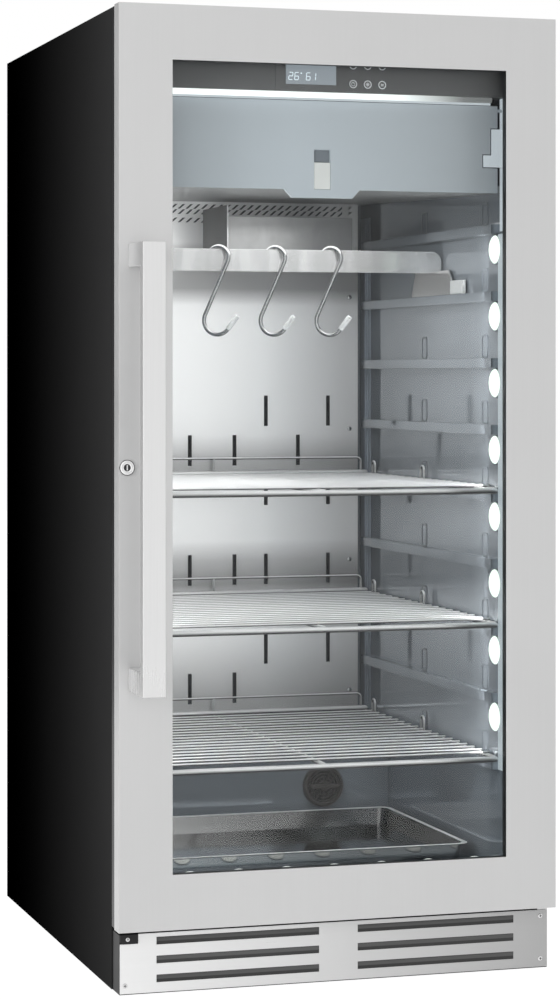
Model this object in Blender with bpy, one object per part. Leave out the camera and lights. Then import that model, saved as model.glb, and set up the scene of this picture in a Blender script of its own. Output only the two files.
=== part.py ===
"""A free-standing dry aging cabinet with a framed glass door, built piece by piece.

Metres, +Z up. The origin is on the floor under the middle of the cabinet, handle included,
the front faces -Y and the door is hinged at +X. Fittings in the chamber are placed down from its
ceiling or up from its floor, inwards from its walls, and backwards from the front of the carcass.
"""
import math

import bmesh
import bpy
from mathutils import Matrix, Vector

mm = 0.001

# Clearances that many pieces share.
seat_gap = 0.3 * mm
overrun = 5 * mm
merge_reach = 0.03 * mm

# Outer sizes.
door_width = 595 * mm
cabinet_inset = 4 * mm
cabinet_height = 1256 * mm
cabinet_depth = 655.4 * mm
base_height = 82 * mm
foot_lift = 4 * mm

# Sheets and walls.
sheet = 1 * mm
liner = 2 * mm
side_wall = 43.5 * mm
roof_wall = 51 * mm
rear_wall = 59.4 * mm
floor_wall = 36 * mm
frame_sill = 2 * mm
hump_depth = 128 * mm
hump_height = 130 * mm
hump_wall = 40 * mm
return_width = 14 * mm
frame_depth = 6 * mm

# Door.
door_thickness = 42 * mm
door_border = 70.3 * mm
skin_fold = 24 * mm
glass_recess = 13.6 * mm
pane = 4 * mm
core_lip = 7.2 * mm
pane_overlap = 18 * mm
pane_hold = 5.5 * mm
spacer_width = 8 * mm
gasket_depth = 12 * mm
gasket_width = 16 * mm
gasket_inset = 24 * mm
gasket_lip = 5 * mm
gasket_neck = 4 * mm

# Handle and lock.
handle_reach = 75 * mm
handle_bar = 15 * mm
handle_width = 30 * mm
handle_length = 565 * mm
handle_inset = 12 * mm
handle_post = 30 * mm
lock_margin = 0.3 * mm
lock_ring_radius = 10 * mm
lock_ring_height = 2 * mm
lock_ring_lip = 2.4 * mm
lock_bore_play = 0.3 * mm
lock_shaft_radius = 3.2 * mm
lock_cam_width = 8 * mm
lock_cam_reach = 14 * mm
lock_cam_heel = 2.6 * mm
lock_cam_thickness = 3 * mm
lock_cam_play = 1 * mm
lock_cam_setback = 2.6 * mm
keyway_width = 1.6 * mm
keyway_height = 8 * mm
keyway_depth = 1.4 * mm

# Door hinges.
hinge_inset = 14 * mm
hinge_plate = 3 * mm
hinge_plate_height = 40 * mm
hinge_half_width = 7 * mm
hinge_arm_nose = 8 * mm
hinge_pin_radius = 4 * mm
hinge_pin_length = 12 * mm
hinge_pin_play = 0.3 * mm
hinge_arm_air = 1.2 * mm
notch_reach = 15 * mm

# Chamber fittings.
ledge_count = 9
ledge_drop = 223 * mm
ledge_rise = 142 * mm
ledge_depth = 13 * mm
ledge_height = 13 * mm
ledge_start = 26 * mm
back_panel_space = 39 * mm
back_panel_edge = 18.5 * mm
back_panel_foot = 5 * mm
back_flange = 12 * mm
side_lamps = 8
lamp_radius = 20.5 * mm
lamp_height = 8 * mm
lamp_drop = 27 * mm
lamp_setback = 36 * mm
lamp_base = 3 * mm
lamp_strip_start = 8 * mm
sill_lamps = 8
sill_lamp_margin = 15.5 * mm
sill_lamp_radius = 12.5 * mm
sill_lamp_height = 9 * mm
sill_setback = 78 * mm
sill_strip_half = 14 * mm
lamp_shares = ((0, 1), (0.5, 0.9), (0.85, 0.55), (1, 0))

# Panel perforations: long upright slots and three rows of slanted ones.
slot_width = 6.3 * mm
slot_height = 46 * mm
slot_shares = (
    (2.78, (0.365, 0.793)),
    (3.44, (0.151, 0.585)),
    (4.11, (0.365, 0.793)),
    (5.44, (0.151, 0.365, 0.793)),
    (6.78, (0.365, 0.793)),
    (7.42, (0.151,)),
)
vent_pitch = 12 * mm
vent_width = 4 * mm
vent_height = 7 * mm
vent_slant = 8 * mm
vent_rows = (7.5 * mm, 15.5 * mm, 28 * mm)
duct_window_height = 50 * mm

# Evaporator space above the chamber.
tray_front_drop = 175 * mm
tray_back_drop = 158 * mm
tray_setback = 25 * mm
tray_lip = 10 * mm
coil_side_space = 60 * mm
coil_depth = 200 * mm
coil_height = 86 * mm
coil_setback = 130 * mm
fin_count = 18
fin_share = 0.35
coil_spine = 10 * mm

# Fan box on the back panel.
duct_side_space = 53 * mm
duct_width = 192 * mm
duct_depth = 129 * mm
duct_height = 76 * mm
duct_drop = 187 * mm
duct_slots = 9
duct_slot_share = 0.5
duct_slot_margin = 8 * mm
fan_radius = 32 * mm
fan_hub_radius = 9 * mm
fan_hub_length = 12 * mm
fan_setback = 22 * mm
fan_motor_radius = 13 * mm
blade_count = 5
blade_thickness = 1.6 * mm
blade_pitch_degrees = 32
blade_root_share = 0.6
blade_chord_share = 1.2

# Control panel, its display and its keys.
fascia_height = 48 * mm
fascia_setback = 4 * mm
fascia_depth = 32 * mm
fascia_wall = 3 * mm
bezel_width = 164 * mm
bezel_offset = 8.8 * mm
bezel_lift = 1 * mm
bezel_margin = 1.5 * mm
display_width = 69.5 * mm
display_drop = 13 * mm
display_left = 14 * mm
display_rise = 9 * mm
display_thickness = 1.6 * mm
key_radius = 5.7 * mm
key_play = 0.3 * mm
key_travel = 0.8 * mm
key_length = 7 * mm
key_first = 106.5 * mm
key_pitch = 20.2 * mm
key_drop = 11.9 * mm
key_rise = 11.3 * mm
key_columns = 3
light_bar_side_space = 19 * mm
light_bar_height = 7 * mm
light_bar_depth = 8 * mm
light_bar_setback = 6.5 * mm

# Flap in front of the evaporator.
flap_side_space = 7.5 * mm
flap_height = 116.5 * mm
flap_drop = 59 * mm
flap_thickness = 5 * mm
flap_setback = 16 * mm
flap_pin_drop = 6 * mm
flap_pin_radius = 2.2 * mm
flap_pin_play = 0.3 * mm
flap_pin_seat = 1 * mm
tab_width = 104 * mm
tab_offset = -5 * mm
tab_narrowing = 10 * mm
tab_height = 11 * mm
latch_width = 22 * mm
latch_height = 35 * mm
latch_travel = 17 * mm
latch_play = 0.3 * mm
latch_recess = 2.6 * mm
latch_proud = 0.8 * mm
catch_width = 16.5 * mm
catch_rise = 34.5 * mm
catch_height = 51 * mm
catch_foot = 11.5 * mm
catch_foot_height = 16 * mm
catch_play = 1.2 * mm

# Hanging beam and its hooks.
beam_height = 31 * mm
beam_thickness = 2.4 * mm
beam_setback = 240 * mm
beam_end_play = 3 * mm
beam_corner = 14 * mm
beam_foot_front = 94 * mm
beam_foot_back = 115 * mm
beam_foot_lean = 16 * mm
beam_foot_corner = 12 * mm
beam_tongue_length = 48 * mm
beam_tongue_height = 17.5 * mm
beam_overlap = 4 * mm
hook_count = 3
hook_pitch = 82 * mm
hook_wire_radius = 2.8 * mm
hook_top_radius = 15 * mm
hook_bottom_radius = 20 * mm
hook_drop = 87.5 * mm
hook_shift = 1.6 * mm
hook_tip = 22 * mm
hook_turn_degrees = 52
hook_back_degrees = 195
hook_out_degrees = -38
hook_play = 0.75 * mm

# Wire shelves and the tray under them.
shelf_levels = (4, 6, 8)
shelf_play = 5.5 * mm
shelf_front = 20 * mm
shelf_rear_space = 8 * mm
front_bar_radius = 4 * mm
front_bar_drop = 2 * mm
side_bar_radius = 3 * mm
side_bar_inset = 4.2 * mm
cross_wire_radius = 2 * mm
cross_wires = 18
wire_bite_share = 0.6
rail_radius = 2 * mm
rail_rise = 28 * mm
rail_inset = 11 * mm
rail_bend = 7 * mm
loop_radius = 1.6 * mm
loop_width = 12 * mm
loop_height = 23 * mm
loop_shares = (0.525, 0.923)
tray_side_space = 14 * mm
tray_rear_space = 36 * mm
tray_height = 25 * mm
tray_rim = 7 * mm
tray_wall_run = 6 * mm
tray_sheet = 1.2 * mm
tray_setback_front = 95 * mm

# Filter in the hump's front.
filter_radius = 31 * mm
filter_cap_depth = 9 * mm
filter_neck_radius = 22 * mm
filter_neck_length = 30 * mm
filter_neck_play = 0.4 * mm
filter_side_space = 105 * mm
filter_rise = 55 * mm
filter_grip_width = 5 * mm
filter_grip_height = 4 * mm
filter_edge_shares = (0.9, 0.6)
filter_grip_share = 0.7

# Machine bay under and behind the chamber.
pan_sheet = 1.2 * mm
pan_front = 36 * mm
pan_drop = 6 * mm
pan_flange = 14 * mm
plinth_inset = 1.5 * mm
plinth_drop = 5.2 * mm
plinth_sheet = 1.3 * mm
plinth_slot_rows = 3
plinth_slot_height = 9.7 * mm
plinth_slot_rise = 12.6 * mm
plinth_slot_drop = 5.2 * mm
plinth_slot_margin = 48 * mm
plinth_slot_middle = 26.4 * mm
cap_width = 23.5 * mm
cap_height = 12 * mm
cap_proud = 2 * mm
cap_corner = 3 * mm
foot_radius = 20 * mm
foot_stem_radius = 4 * mm
foot_stem_length = 16 * mm
foot_inset_side = 45 * mm
foot_inset_front = 40 * mm
foot_inset_rear = 45 * mm
compressor_radius = 60 * mm
compressor_height = 150 * mm
compressor_stretch_share = 1.25
compressor_side_space = 153.5 * mm
compressor_dome_share = 0.45
compressor_dome_shares = ((0.85, 0.4), (0.5, 0))
compressor_foot_width = 170 * mm
compressor_foot_depth = 110 * mm
compressor_foot_height = 6 * mm
bay_rear_play = 8 * mm
condenser_width = 230 * mm
condenser_height = 180 * mm
condenser_depth = 42 * mm
condenser_side_space = 158.5 * mm
condenser_gap_shares = (0.3, 0.6, 0.4)
condenser_tanks = 12 * mm
condenser_fins = 22
bay_fan_radius = 75 * mm
bay_fan_hub_radius = 20 * mm
bay_fan_hub_length = 16 * mm
bay_motor_radius = 24 * mm
bay_motor_length = 34 * mm
inlet_width = 50 * mm
inlet_height = 32 * mm
inlet_depth = 24 * mm
inlet_side_space = 41.5 * mm
inlet_rise = 40 * mm
inlet_wall = 5 * mm
inlet_socket = 16 * mm
rear_vent_rows = 7
rear_vent_middle = 35 * mm
rear_vent_height = 6 * mm
rear_vent_pitch = 18 * mm
rear_vent_rise = 62 * mm
rear_vent_margin = 108.5 * mm

# Facets.
fine_sides = 24
coarse_sides = 16
lamp_sides = 14
wire_round_steps = 1
hook_round_steps = 2
corner_steps = 4
loop_steps = 6
hook_top_steps = 14
hook_bottom_steps = 12
smooth_degrees = 35
quarter_degrees = 90

# Places worked out from the sizes.
cabinet_half = door_width / 2 - cabinet_inset
inner_half = cabinet_half - side_wall
total_depth = handle_reach + door_thickness + gasket_depth + cabinet_depth
door_face = handle_reach - total_depth / 2
door_back = door_face + door_thickness
front = door_back + gasket_depth
back = front + cabinet_depth
body_floor = foot_lift
body_top = foot_lift + cabinet_height
door_bottom = foot_lift + base_height
door_middle = (door_bottom + body_top) / 2
frame_bottom = door_bottom + frame_sill
liner_front = front + frame_depth + seat_gap
liner_back = back - rear_wall
chamber_floor = frame_bottom + floor_wall
chamber_top = body_top - roof_wall
hump_face = liner_back - hump_depth
hump_top = chamber_floor + hump_height
panel_face = liner_back - seat_gap - back_panel_space
panel_half = inner_half - back_panel_edge
opening_half = door_width / 2 - door_border
opening_bottom = door_bottom + door_border
opening_top = body_top - door_border
glass_face = door_face + glass_recess
pane_stack = pane + pane + seat_gap * 4
pane_space = door_thickness - glass_recess - pane_stack - core_lip
hinge_x = door_width / 2 - hinge_inset
hinge_y = door_face + door_thickness / 2
lock_x = lock_ring_radius + lock_margin - door_width / 2
lock_barrel_radius = lock_ring_radius - lock_ring_lip
ledge_span = chamber_top - ledge_drop - chamber_floor - ledge_rise
ledge_pitch = ledge_span / (ledge_count - 1)
sill_lamp_pitch = (inner_half - sill_lamp_margin) * 2 / (sill_lamps - 1)
coil_half = inner_half - coil_side_space
duct_right = panel_half - duct_side_space
duct_left = duct_right - duct_width
duct_top = chamber_top - duct_drop
duct_bottom = duct_top - duct_height
flap_front = front + flap_setback
flap_bottom = chamber_top - flap_drop - flap_height
flap_half = inner_half - flap_side_space
beam_middle = front + beam_setback
beam_top = chamber_top - ledge_drop - ledge_pitch + ledge_height / 2 + seat_gap
shelf_start = front + shelf_front
shelf_end = panel_face - shelf_rear_space
tray_half = inner_half - tray_side_space
tray_start = front + tray_setback_front
tray_end = hump_face - tray_rear_space
filter_x = inner_half - filter_side_space
filter_z = chamber_floor + filter_rise
pan_top = door_bottom - pan_drop
pan_front_y = front - pan_front
bay_front = hump_face + hump_wall
compressor_x = compressor_side_space - cabinet_half
condenser_x = cabinet_half - condenser_side_space
inlet_x = inlet_side_space - cabinet_half
inlet_z = body_floor + inlet_rise
plinth_half = cabinet_half - plinth_inset
fascia_bottom = chamber_top - seat_gap - fascia_height


def clear_scene():
    """Start from an empty file."""
    for thing in list(bpy.data.objects):
        bpy.data.objects.remove(thing)


def finish(name, colour, roughness, metallic):
    """A plain Principled material, kept under its own name."""
    made = bpy.data.materials.get(name)
    if made is None:
        made = bpy.data.materials.new(name)
        made.use_nodes = True
        shader = made.node_tree.nodes["Principled BSDF"]
        shader.inputs["Base Color"].default_value = (*colour, 1.0)
        shader.inputs["Roughness"].default_value = roughness
        shader.inputs["Metallic"].default_value = metallic
    return made


def steel():
    return finish("brushed_steel", (0.62, 0.62, 0.61), 0.32, 1.0)


def bright_steel():
    return finish("bright_steel", (0.75, 0.75, 0.76), 0.14, 1.0)


def black_paint():
    return finish("black_paint", (0.012, 0.012, 0.013), 0.38, 0.0)


def black_plastic():
    return finish("black_plastic", (0.02, 0.02, 0.022), 0.45, 0.0)


def grey_liner():
    return finish("grey_liner", (0.36, 0.42, 0.48), 0.18, 0.0)


def dark_plastic():
    return finish("dark_plastic", (0.11, 0.11, 0.11), 0.4, 0.0)


def lamp_white():
    return finish("lamp_white", (0.9, 0.95, 0.92), 0.3, 0.0)


def clear_glass():
    return finish("clear_glass", (0.9, 0.95, 0.95), 0.03, 0.0)


def white_plastic():
    return finish("white_plastic", (0.85, 0.85, 0.82), 0.4, 0.0)


def foam_yellow():
    return finish("foam_yellow", (0.75, 0.62, 0.32), 0.9, 0.0)


def soft_rubber():
    return finish("soft_rubber", (0.03, 0.03, 0.03), 0.7, 0.0)


def to_object(name, shape):
    """Turn a bmesh into a closed object with its faces outwards."""
    bmesh.ops.recalc_face_normals(shape, faces=shape.faces)
    mesh = bpy.data.meshes.new(name)
    shape.to_mesh(mesh)
    shape.free()
    thing = bpy.data.objects.new(name, mesh)
    bpy.context.collection.objects.link(thing)
    return thing


def block(name, low, high):
    """A box between two opposite corners."""
    low = Vector(low)
    high = Vector(high)
    size = high - low
    shape = bmesh.new()
    bmesh.ops.create_cube(shape, size=1)
    bmesh.ops.scale(shape, vec=size, verts=shape.verts)
    bmesh.ops.translate(shape, vec=(low + high) / 2, verts=shape.verts)
    return to_object(name, shape)


def blocks(name, corners):
    """Several boxes, kept as one object to cut or weld with."""
    shape = bmesh.new()
    for low, high in corners:
        low = Vector(low)
        high = Vector(high)
        made = bmesh.ops.create_cube(shape, size=1)["verts"]
        bmesh.ops.scale(shape, vec=high - low, verts=made)
        bmesh.ops.translate(shape, vec=(low + high) / 2, verts=made)
    return to_object(name, shape)


def prism(name, outline, along, start, end):
    """A flat outline carried along one axis: X takes (y, z) points, Y takes (x, z), Z takes (x, y)."""
    def spread(point, reach):
        u, v = point
        if along == "X":
            return (reach, u, v)
        if along == "Y":
            return (u, reach, v)
        return (u, v, reach)
    shape = bmesh.new()
    rim = [shape.verts.new(spread(point, start)) for point in outline]
    face = shape.faces.new(rim)
    grown = bmesh.ops.extrude_face_region(shape, geom=[face])["geom"]
    far = [item for item in grown if isinstance(item, bmesh.types.BMVert)]
    travel = Vector(spread((0, 0), end)) - Vector(spread((0, 0), start))
    bmesh.ops.translate(shape, vec=travel, verts=far)
    return to_object(name, shape)


def turned(name, profile, centre, direction, sides):
    """A profile of (radius, distance) points spun round a line through centre."""
    shape = bmesh.new()
    verts = [shape.verts.new((radius, 0, reach)) for radius, reach in profile]
    edges = [shape.edges.new(pair) for pair in zip(verts, verts[1:])]
    bmesh.ops.spin(
        shape, geom=verts + edges, axis=(0, 0, 1), cent=(0, 0, 0),
        angle=math.tau, steps=sides, use_merge=True, use_duplicate=False)
    bmesh.ops.remove_doubles(shape, verts=shape.verts, dist=merge_reach)
    turn = Vector(direction).to_track_quat("Z", "Y").to_matrix().to_4x4()
    bmesh.ops.transform(shape, matrix=Matrix.Translation(centre) @ turn, verts=shape.verts)
    return to_object(name, shape)


def rod(name, radius, start, end, sides):
    """A plain round bar between two points."""
    start = Vector(start)
    reach = Vector(end) - start
    profile = [(0, 0), (radius, 0), (radius, reach.length), (0, reach.length)]
    return turned(name, profile, start, reach, sides)


def wires(name, paths, radius, round_steps):
    """Round wires along paths of points, with filled ends."""
    curve = bpy.data.curves.new(name, "CURVE")
    curve.dimensions = "3D"
    curve.bevel_depth = radius
    curve.bevel_resolution = round_steps
    curve.use_fill_caps = True
    for path in paths:
        spline = curve.splines.new("POLY")
        spline.points.add(len(path) - 1)
        for point, place in zip(spline.points, path):
            point.co = (*place, 1)
    guide = bpy.data.objects.new(name + "_line", curve)
    bpy.context.collection.objects.link(guide)
    view = bpy.context.evaluated_depsgraph_get()
    mesh = bpy.data.meshes.new_from_object(guide.evaluated_get(view))
    bpy.data.objects.remove(guide)
    shape = bmesh.new()
    shape.from_mesh(mesh)
    bmesh.ops.remove_doubles(shape, verts=shape.verts, dist=merge_reach)
    return to_object(name, shape)


def shape_with(target, tool, operation):
    """Cut or weld one solid with another and keep the outcome as plain mesh."""
    step = target.modifiers.new("shape", "BOOLEAN")
    step.operation = operation
    step.solver = "EXACT"
    step.object = tool
    view = bpy.context.evaluated_depsgraph_get()
    outcome = bpy.data.meshes.new_from_object(target.evaluated_get(view))
    target.modifiers.clear()
    target.data = outcome
    bpy.data.objects.remove(tool)
    return target


def cut(target, tool):
    return shape_with(target, tool, "DIFFERENCE")


def weld(target, tool):
    return shape_with(target, tool, "UNION")


def settle(thing, look, origin, smooth=False):
    """Give a piece its material and its origin, a point that it is held or turned by."""
    thing.data.materials.clear()
    thing.data.materials.append(look)
    thing.data.transform(Matrix.Translation(-Vector(origin)))
    thing.location = origin
    if smooth:
        thing.data.shade_smooth()
        thing.data.set_sharp_from_angle(angle=math.radians(smooth_degrees))
    return thing


def pivot(name, place):
    """An empty that marks a joint's axis."""
    mark = bpy.data.objects.new(name, None)
    mark.location = place
    bpy.context.collection.objects.link(mark)
    return mark


def hang(thing, mark):
    """Parent a piece to a joint's empty without moving it."""
    thing.parent = mark
    thing.matrix_parent_inverse = Matrix.Translation(-mark.location)
    return thing


def arc(centre, radius, first_degrees, last_degrees, steps):
    """Points on part of a circle, from one angle to another."""
    points = []
    for step in range(steps + 1):
        turn = math.radians(first_degrees + (last_degrees - first_degrees) * step / steps)
        points.append((centre[0] + radius * math.cos(turn), centre[1] + radius * math.sin(turn)))
    return points


def make_side_panels():
    """Black side sheets, folded in at the front, the left one slotted for the lock's cam."""
    for name, side in (("left_side_panel", -1), ("right_side_panel", 1)):
        outline = [
            (side * cabinet_half, front),
            (side * (cabinet_half - return_width), front),
            (side * (cabinet_half - return_width), front + sheet),
            (side * (cabinet_half - sheet), front + sheet),
            (side * (cabinet_half - sheet), back),
            (side * cabinet_half, back),
        ]
        panel = prism(name, outline, "Z", body_floor, body_top)
        if side < 0:
            reach = lock_cam_width / 2 + lock_cam_play
            slot_x = max(lock_x - reach, sheet + seat_gap - cabinet_half)
            slot = block("slot", (slot_x, front - overrun, door_middle - reach), (
                lock_x + reach, front + sheet + overrun, door_middle + lock_cam_reach + lock_cam_play))
            cut(panel, slot)
        folded = side * (cabinet_half - sheet)
        inner = side * (cabinet_half - return_width - overrun)
        cut(panel, block("pan_room", (min(folded, inner), front - overrun, body_floor - overrun), (
            max(folded, inner), front + sheet + overrun, pan_top + seat_gap)))
        settle(panel, black_paint(), (side * cabinet_half, front, body_floor))


def make_top_panel():
    """The lid between the side sheets, folded down at the front."""
    outline = [
        (front, body_top),
        (front, body_top - return_width),
        (front + sheet, body_top - return_width),
        (front + sheet, body_top - sheet),
        (back - sheet - seat_gap, body_top - sheet),
        (back - sheet - seat_gap, body_top),
    ]
    reach = cabinet_half - return_width - seat_gap
    lid = prism("top_panel", outline, "X", -reach, reach)
    side_reach = cabinet_half - sheet - seat_gap
    wing_front = front + sheet + seat_gap
    wings = blocks("wings", [
        ((-side_reach, wing_front, body_top - sheet), (-reach + sheet, back - sheet - seat_gap, body_top)),
        ((reach - sheet, wing_front, body_top - sheet), (side_reach, back - sheet - seat_gap, body_top)),
    ])
    weld(lid, wings)
    settle(lid, black_paint(), (0, front, body_top))


def make_rear_panel():
    """The rear sheet, vented across the machine bay and cut out for the power inlet."""
    reach = cabinet_half - sheet - seat_gap
    panel = block("rear_panel", (-reach, back - sheet, body_floor + pan_sheet + seat_gap), (
        reach, back, body_top))
    vents = []
    for row in range(rear_vent_rows):
        low = body_floor + rear_vent_rise + row * rear_vent_pitch
        for side in (-1, 1):
            inner = side * rear_vent_middle
            outer = side * (cabinet_half - rear_vent_margin)
            vents.append((
                (min(inner, outer), back - sheet - overrun, low),
                (max(inner, outer), back + overrun, low + rear_vent_height)))
    cut(panel, blocks("vents", vents))
    cut(panel, inlet_room(back - sheet - overrun, back + overrun))
    settle(panel, black_paint(), (0, back, body_floor))


def inlet_room(start, end):
    """The opening inside the power inlet's walls, as a cutter between two depths."""
    across = inlet_width / 2 - inlet_wall
    up = inlet_height / 2 - inlet_wall
    return block("room", (inlet_x - across, start, inlet_z - up), (inlet_x + across, end, inlet_z + up))


def make_power_inlet():
    """The recessed appliance inlet behind the rear sheet."""
    face = back - sheet - seat_gap
    inlet = block("power_inlet", (
        inlet_x - inlet_width / 2, face - inlet_depth, inlet_z - inlet_height / 2), (
        inlet_x + inlet_width / 2, face, inlet_z + inlet_height / 2))
    cut(inlet, inlet_room(face - inlet_socket, face + overrun))
    settle(inlet, black_plastic(), (inlet_x, face, inlet_z))


def chamber_outline(grow, mouth):
    """Side view of the lined chamber with its hump, grown outwards all round, open to the mouth."""
    low = chamber_floor - grow
    high = chamber_top + grow
    rear = liner_back + grow
    step = hump_face + grow
    shelf = hump_top - grow
    return [(mouth, low), (step, low), (step, shelf), (rear, shelf), (rear, high), (mouth, high)]


def make_foam():
    """The insulation between the outer sheets and the liners, open at the front."""
    reach = cabinet_half - sheet - seat_gap
    rear = back - sheet - seat_gap
    bay_roof = hump_top - hump_wall
    outline = [
        (liner_front, frame_bottom),
        (bay_front, frame_bottom),
        (bay_front, bay_roof),
        (rear, bay_roof),
        (rear, body_top - sheet - seat_gap),
        (liner_front, body_top - sheet - seat_gap),
    ]
    foam = prism("foam_insulation", outline, "X", -reach, reach)
    grow = liner + seat_gap
    hollow = prism("hollow", chamber_outline(grow, front), "X", -inner_half - grow, inner_half + grow)
    cut(foam, hollow)
    duct = rod(
        "duct", filter_neck_radius + filter_neck_play, (filter_x, hump_face - overrun, filter_z),
        (filter_x, bay_front + overrun, filter_z), fine_sides)
    cut(foam, duct)
    settle(foam, foam_yellow(), (0, liner_front, frame_bottom))


def make_front_frame():
    """The frame round the chamber's mouth that the door's gasket closes on."""
    reach = cabinet_half - return_width - seat_gap
    frame = block("front_frame", (-reach, front, frame_bottom), (
        reach, front + frame_depth, body_top - return_width - seat_gap))
    mouth = block("mouth", (-inner_half, front - overrun, chamber_floor), (
        inner_half, front + frame_depth + overrun, chamber_top))
    cut(frame, mouth)
    reach_cam = lock_cam_width / 2 + lock_cam_play
    pocket = block("pocket", (
        -reach - overrun, front + sheet + seat_gap, door_middle - reach_cam), (
        lock_x + lock_cam_reach + lock_cam_play, front + frame_depth + overrun,
        door_middle + lock_cam_reach + lock_cam_play))
    cut(frame, pocket)
    settle(frame, grey_liner(), (0, front, frame_bottom))


def level_height(index):
    """The middle height of a ledge, counted down from the top one."""
    return chamber_top - ledge_drop - index * ledge_pitch


def make_side_liners():
    """Moulded walls with the ledges that carry shelves and beam, and the flap's catch and pin holes."""
    outline = chamber_outline(liner, liner_front)
    ledge_front = front + ledge_start
    ledge_back = panel_face - seat_gap
    catch_low = flap_bottom + catch_rise
    pin_z = flap_pin_height()
    pin_y = flap_front + flap_thickness / 2
    for name, side in (("side_liner_left", -1), ("side_liner_right", 1)):
        wall = prism(name, outline, "X", side * inner_half, side * (inner_half + liner))
        root = side * (inner_half + liner / 2)
        ribs = []
        for index in range(ledge_count):
            middle = level_height(index)
            ribs.append((
                (min(root, side * (inner_half - ledge_depth)), ledge_front, middle - ledge_height / 2),
                (max(root, side * (inner_half - ledge_depth)), ledge_back, middle + ledge_height / 2)))
        weld(wall, blocks("ribs", ribs))
        tip = side * (inner_half - catch_width)
        toe = side * (inner_half - catch_width - catch_foot)
        catch_outline = [
            (root, catch_low), (toe, catch_low), (toe, catch_low + catch_foot_height),
            (tip, catch_low + catch_foot_height), (tip, catch_low + catch_height),
            (root, catch_low + catch_height)]
        weld(wall, prism("catch", catch_outline, "Y", flap_front, flap_front + flap_thickness))
        hole = rod(
            "hole", flap_pin_radius + flap_pin_play, (side * (inner_half - overrun), pin_y, pin_z),
            (side * (inner_half + liner + overrun), pin_y, pin_z), coarse_sides)
        cut(wall, hole)
        settle(wall, grey_liner(), (side * inner_half, liner_front, chamber_floor))


def make_floor_liner():
    """The chamber's floor, stepped up over the machine bay."""
    outline = [
        (liner_front, chamber_floor), (hump_face, chamber_floor), (hump_face, hump_top),
        (liner_back, hump_top), (liner_back, hump_top - liner), (hump_face + liner, hump_top - liner),
        (hump_face + liner, chamber_floor - liner), (liner_front, chamber_floor - liner)]
    reach = inner_half - seat_gap
    floor = prism("floor_liner", outline, "X", -reach, reach)
    hole = rod(
        "hole", filter_neck_radius + filter_neck_play, (filter_x, hump_face - overrun, filter_z),
        (filter_x, hump_face + liner + overrun, filter_z), fine_sides)
    cut(floor, hole)
    settle(floor, grey_liner(), (0, liner_front, chamber_floor))


def make_rear_liner():
    """The chamber's back wall above the hump."""
    reach = inner_half - seat_gap
    wall = block("rear_liner", (-reach, liner_back, hump_top + seat_gap), (
        reach, liner_back + liner, chamber_top - seat_gap))
    settle(wall, grey_liner(), (0, liner_back, hump_top))


def make_ceiling_liner():
    """The chamber's roof."""
    reach = inner_half - seat_gap
    roof = block("ceiling_liner", (-reach, liner_front, chamber_top), (
        reach, liner_back + liner, chamber_top + liner))
    settle(roof, grey_liner(), (0, liner_front, chamber_top))


def tray_underside(depth):
    """Height of the sloping evaporator tray's underside at a depth in the cabinet."""
    start = front + tray_setback
    slope = (tray_front_drop - tray_back_drop) / (panel_face - start)
    return chamber_top - tray_front_drop + (depth - start) * slope


def make_evaporator_tray():
    """The sloping sheet between chamber and evaporator, with a lip behind the flap."""
    start = front + tray_setback
    end = liner_back - seat_gap
    reach = inner_half - seat_gap
    low = tray_underside(start)
    high = tray_underside(end)
    outline = [
        (start, low), (end, high), (end, high + liner), (start + liner, low + liner),
        (start + liner, low + tray_lip), (start, low + tray_lip)]
    shelf = prism("evaporator_tray", outline, "X", -reach, reach)
    settle(shelf, grey_liner(), (0, start, low))


def make_evaporator_coil():
    """The finned evaporator block standing on its tray."""
    start = front + coil_setback
    end = start + coil_depth
    low = tray_underside(end) + liner + seat_gap
    high = low + coil_height
    pitch = (coil_half + coil_half) / fin_count
    half_fin = pitch * fin_share / 2
    outline = [(-coil_half, high), (-coil_half, high - coil_spine)]
    for index in range(fin_count):
        middle = -coil_half + (index + 0.5) * pitch
        outline += [
            (middle - half_fin, high - coil_spine), (middle - half_fin, low),
            (middle + half_fin, low), (middle + half_fin, high - coil_spine)]
    outline += [(coil_half, high - coil_spine), (coil_half, high)]
    coil = prism("evaporator_coil", outline, "Y", start, end)
    settle(coil, finish("aluminium", (0.7, 0.71, 0.72), 0.35, 1.0), (0, start, low))


def make_back_panel():
    """The steel false back: a channel in front of the rear liner, slotted for the moving air."""
    low = hump_top + back_panel_foot
    high = tray_underside(panel_face) - seat_gap
    rear = liner_back - seat_gap
    outline = [
        (-panel_half, panel_face), (panel_half, panel_face), (panel_half, rear),
        (panel_half - back_flange, rear), (panel_half - back_flange, rear - sheet),
        (panel_half - sheet, rear - sheet), (panel_half - sheet, panel_face + sheet),
        (-panel_half + sheet, panel_face + sheet), (-panel_half + sheet, rear - sheet),
        (-panel_half + back_flange, rear - sheet), (-panel_half + back_flange, rear), (-panel_half, rear)]
    panel = prism("steel_back_panel", outline, "Z", low, high)
    near = panel_face - overrun
    far = panel_face + sheet + overrun
    slots = []
    for level, columns in slot_shares:
        middle = level_height(level)
        for share in columns:
            for side in (-1, 1):
                x = side * panel_half * share
                slots.append((
                    (x - slot_width / 2, near, middle - slot_height / 2),
                    (x + slot_width / 2, far, middle + slot_height / 2)))
    duct_middle = (duct_top + duct_bottom) / 2
    slots.append((
        (duct_left + duct_slot_margin, near, duct_middle - duct_window_height / 2),
        (duct_right - duct_slot_margin, far, duct_middle + duct_window_height / 2)))
    cut(panel, blocks("slots", slots))
    cut(panel, slanted_slots(near, far, high))
    settle(panel, bright_steel(), (0, panel_face, low))


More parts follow.
